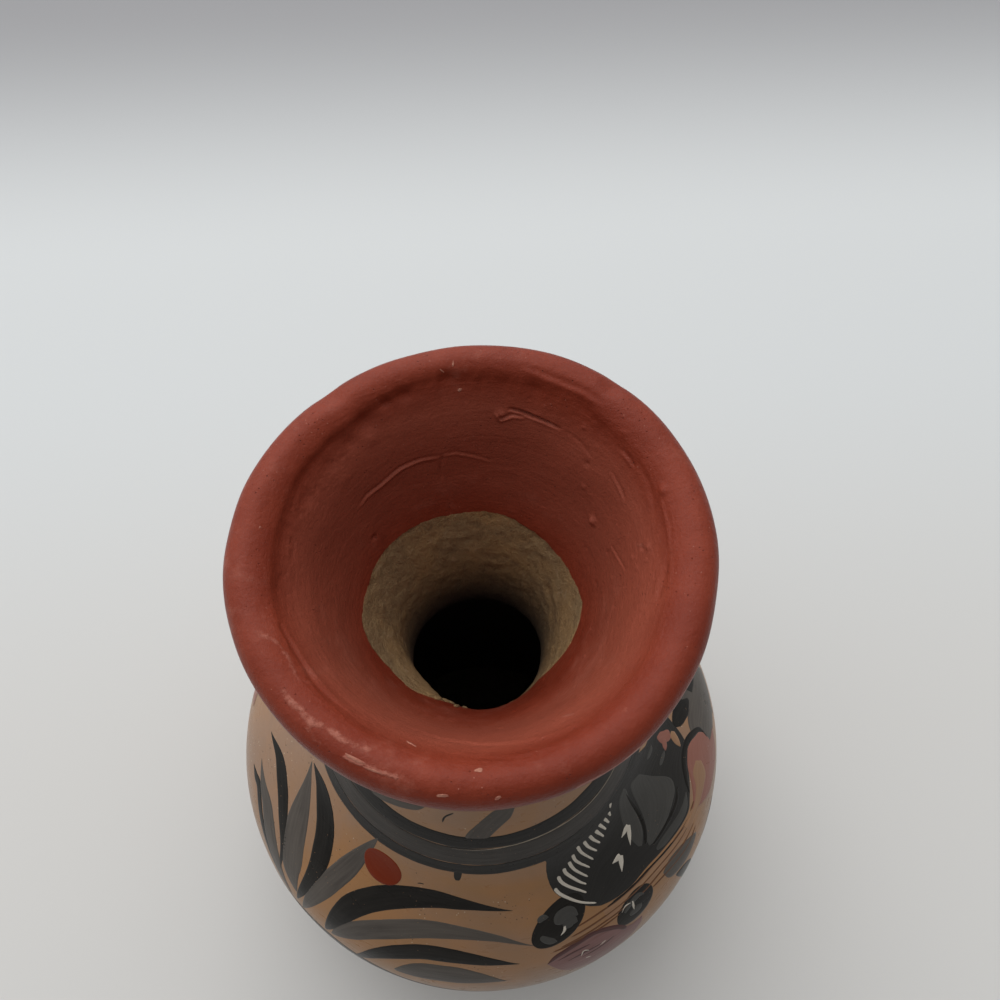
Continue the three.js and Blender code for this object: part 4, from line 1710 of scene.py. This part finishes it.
# %% Mix the paints
PAINTS = {
    "dark slip": ((0.0125, 0.0115, 0.0105), (0.028, 0.025, 0.022), 0.5, 0.3),
    "grey slip": ((0.066, 0.057, 0.05), (0.115, 0.1, 0.086), 0.7, 0.33),
    "grey band slip": ((0.034, 0.03, 0.026), (0.06, 0.052, 0.046), 0.7, 0.33),
    "blossom ground slip": ((0.026, 0.0245, 0.023), (0.036, 0.034, 0.032), 0.6, 0.32, 0.02),
    "dark grey slip": ((0.052, 0.05, 0.046), (0.08, 0.077, 0.071), 0.6, 0.32),
    "red painted slip": ((0.155, 0.02, 0.006), (0.185, 0.035, 0.014), 0.4, 0.32),
    "brick petal slip": ((0.24, 0.095, 0.07), (0.28, 0.13, 0.1), 0.7, 0.32),
    "pinkish red slip": ((0.17, 0.08, 0.072), (0.25, 0.14, 0.13), 0.8, 0.32),
    "purple brown slip": ((0.07, 0.03, 0.03), (0.11, 0.055, 0.05), 0.8, 0.34),
    "white slip": ((0.62, 0.57, 0.49), (0.42, 0.38, 0.32), 0.6, 0.5, 0.03),
    "brown slip": ((0.1, 0.04, 0.02), (0.18, 0.085, 0.042), 0.7, 0.38),
    "buff slip": ((0.33, 0.2, 0.115), (0.25, 0.13, 0.075), 0.7, 0.32, 0.02),
    # The next paint is paler and greyer than the clay: a painted highlight along the band.
    "bare hairline with painted highlight": ((0.42, 0.36, 0.28), (0.22, 0.18, 0.14), 0.9, 0.4, 0.02),
}
PAINT_OF = {
    "leaves_dark": "dark slip", "leaves_grey": "grey slip", "bands_dark": "dark slip",
    "bands_grey": "grey band slip", "hairline": "bare hairline with painted highlight", "dots_red": "red painted slip",
    "neck_strokes_grey": "grey slip", "blossom_ground": "blossom ground slip",
    "blossom_dark": "dark slip", "blossom_grey": "dark grey slip", "petals_red": "brick petal slip",
    "petal_streaks": "purple brown slip", "petals_low": "pinkish red slip",
    "petal_tongues": "buff slip", "white_strokes": "white slip", "stems_brown": "brown slip",
}
paints = {name: paint_finish(name, *details) for name, details in PAINTS.items()}
for kind, piece in painted.items():
    piece.data.materials.append(paints[PAINT_OF[kind]])
print("Paints mixed:", ", ".join(paints))

# %% [markdown]
# Chips and crumbs: a few nicks in the lip show the paler clay under the slip, and a ragged bit of
# unslipped clay stands on the near edge of the throat. Each is a small flat crumb that lies on the
# surface that its pixel shows.

# %% Nicks in the lip and crumbs in the throat
NICKS = (  # the pixel, half the length, half the width, and how it is turned
    ((459.5, 390), 0.55, 0.34, 0.6),
    ((410, 743), 1.0, 0.35, 1.2),
    ((413.5, 745), 1.1, 0.3, 1.1),
    ((479, 770), 0.8, 0.5, 0.2),
    ((443, 796), 1.2, 0.35, 0.1),
    ((453, 364), 0.6, 0.18, 1.5),
    ((442, 371), 0.6, 0.16, -0.6),
    ((260, 527), 0.3, 0.2, 0.4),
    ((498, 798), 0.7, 0.35, 0.5),
    ((355, 759), 2.2, 0.35, -0.4),
    ((372, 770), 1.8, 0.25, -0.3),
)
CRUMBS = (
    ((431, 694), 2.0, 0.7, -0.5),
    ((438, 698), 2.0, 0.8, -0.2),
    ((446, 699), 2.3, 0.9, 0.1),
    ((451, 701), 1.2, 1.0, 0.5),
    ((458, 702), 1.9, 0.8, -0.3),
    ((465, 705), 1.3, 0.6, -0.4),
)
CRUMB_SIDES = 14
CRUMB_ROUGHNESS = 0.45
CRUMB_NOISE = 1.3
CRUMB_RINGS = ((1.0, -0.4), (0.92, 0.35), (0.55, 0.85), (0.02, 1.0))
CHIPPED = (0.55, 0.24, 0.165)
CHIPPED_CLOUD = (0.4, 0.12, 0.08)
final_mouth = BVHTree.FromPolygons(
    [Vector(p) for p in path[mark["widest"] : mark["neck_inside"] + 1].reshape(-1, 3)],
    wrap_faces(mark["neck_inside"] - mark["widest"] + 1, SIDES, False))


def crumb(pixel, long, wide, turn, height, seed):
    """A small flat lump with an uneven outline: rings of points round its middle, and a sunk base."""
    point, normal = met(final_mouth, pixel)
    if normal.dot(ray_to(pixel)) > 0:
        normal = -normal
    east = normal.cross(UP).normalized()
    north = normal.cross(east)
    points = []
    for size, lift in CRUMB_RINGS:
        for i in range(CRUMB_SIDES):
            a = 2 * math.pi * i / CRUMB_SIDES
            cos, sin = math.cos(a), math.sin(a)
            where = Vector((cos * CRUMB_NOISE, sin * CRUMB_NOISE, seed))
            rough = 1 + CRUMB_ROUGHNESS * noise.noise(where)
            x, y = cos * long * size * rough, sin * wide * size * rough
            aside = east * (x * math.cos(turn) - y * math.sin(turn))
            aside += north * (x * math.sin(turn) + y * math.cos(turn))
            points.append(point + aside + normal * (height * lift))
    return points


def build_crumbs(name, items, height, material):
    points, faces = [], []
    for seed, item in enumerate(items):
        start = len(points)
        points += crumb(*item, height, seed * 2.9)
        rings = (len(points) - start) // CRUMB_SIDES
        faces += [[start + q for q in quad] for quad in wrap_faces(rings, CRUMB_SIDES, False)]
        faces.append([start + q for q in reversed(range(CRUMB_SIDES))])
        faces.append([start + (rings - 1) * CRUMB_SIDES + q for q in range(CRUMB_SIDES)])
    piece = new_piece(name, np.array(points), faces)
    piece.data.materials.append(material)
    return piece


def chipped_finish():
    material, tree, shader = new_finish("chipped clay", 0.8, 0.3)
    feed(tree, shader["Base Color"], clouded(tree, CHIPPED, CHIPPED_CLOUD, 400.0, 0.9))
    fine = add(tree, "ShaderNodeTexNoise", Scale=1500.0, Detail=4.0)
    raise_surface(tree, shader, 0.0002, (fine, 1.0))
    return material


nicks = build_crumbs("lip_nicks", NICKS, 0.06, chipped_finish())
crumbs = build_crumbs("throat_crumbs", CRUMBS, 0.35, bare_clay)
print("Nicks", len(nicks.data.polygons), "faces, crumbs", len(crumbs.data.polygons), "faces")

# %% [markdown]
# The vase stands on a plain pale floor. Light and shade are painted into its colour, by its own
# coordinates and not by the lamps. It is painted a little lighter and cooler just behind the vase, as
# painted light, and a darker grey far behind it, as painted shade.

# %% The floor
FLOOR_HALF = 3.0
FLOOR_NEAR = (0.565, 0.56, 0.545, 1)
# The next colour is painted light on the floor just behind the vase. The one after it is painted shade
# far behind.
FLOOR_PAINTED_LIGHT = (0.58, 0.6, 0.605, 1)
FLOOR_PAINTED_SHADE = (0.27, 0.27, 0.28, 1)
PAINTED_LIGHT_RISES = (0.0, 0.2)
PAINTED_SHADE_FALLS = (0.26, 0.46)


def make_floor():
    mesh = bpy.data.meshes.new("floor")
    corners = [(FLOOR_HALF * x, FLOOR_HALF * y, 0) for x, y in ((-1, -1), (1, -1), (1, 1), (-1, 1))]
    mesh.from_pydata(corners, [], [(0, 1, 2, 3)])
    floor = bpy.data.objects.new("floor", mesh)
    bpy.context.scene.collection.objects.link(floor)
    material, tree, shader = new_finish("pale floor", 0.75)
    behind = add(tree, "ShaderNodeSeparateXYZ", own_place(tree)).outputs["Y"]
    # painted light just behind the vase, then painted shade far behind it
    near = mix(tree, ease(tree, behind, *PAINTED_LIGHT_RISES), FLOOR_NEAR, FLOOR_PAINTED_LIGHT)
    feed(tree, shader["Base Color"], mix(tree, ease(tree, behind, *PAINTED_SHADE_FALLS), near, FLOOR_PAINTED_SHADE))
    mesh.materials.append(material)


make_floor()


# %% [markdown]
# The light is plain and soft, and most of it comes from above and behind. The surround is bright
# towards a window high at the back, and dark near the horizon and behind the camera. One large lamp
# hangs at the window. Their strengths are set so that a pale surface renders about as it is written.

# %% Surround and lamp
TO_WINDOW = (-0.22, 0.62, 0.74)
SURROUND_DARKEST = 0.14
SURROUND_BRIGHTEST = 1.4
TURNS_DARK = -0.05
LAMP_PLACE = (-0.4, 1.25, 1.7)
LAMP_SIZE = 2.2
LAMP_WATTS = 18
AIM_AT = Vector((0, 0, 0.15))


def soft_lamp(name, spot, size, watts):
    light = bpy.data.lights.new(name, "AREA")
    light.shape = "DISK"
    light.size = size
    light.energy = watts
    lamp = bpy.data.objects.new(name, light)
    lamp.location = spot
    lamp.rotation_euler = (AIM_AT - Vector(spot)).to_track_quat("-Z", "Y").to_euler()
    bpy.context.scene.collection.objects.link(lamp)


def make_surround():
    world = bpy.data.worlds.new("surround")
    world.use_nodes = True
    tree = world.node_tree
    where = add(tree, "ShaderNodeTexCoord").outputs["Generated"]
    window = Vector(TO_WINDOW).normalized()
    towards = add(tree, "ShaderNodeVectorMath", where, window, operation="DOT_PRODUCT").outputs["Value"]
    level = add(tree, "ShaderNodeMapRange", towards, TURNS_DARK, 1.0,
                SURROUND_DARKEST, SURROUND_BRIGHTEST, interpolation_type="SMOOTHSTEP")
    background = tree.nodes["Background"].inputs
    feed(tree, background["Color"], (1, 1, 1, 1))
    feed(tree, background["Strength"], level)
    bpy.context.scene.world = world


make_surround()
soft_lamp("window_lamp", LAMP_PLACE, LAMP_SIZE, LAMP_WATTS)
bpy.context.scene.view_settings.view_transform = "Standard"
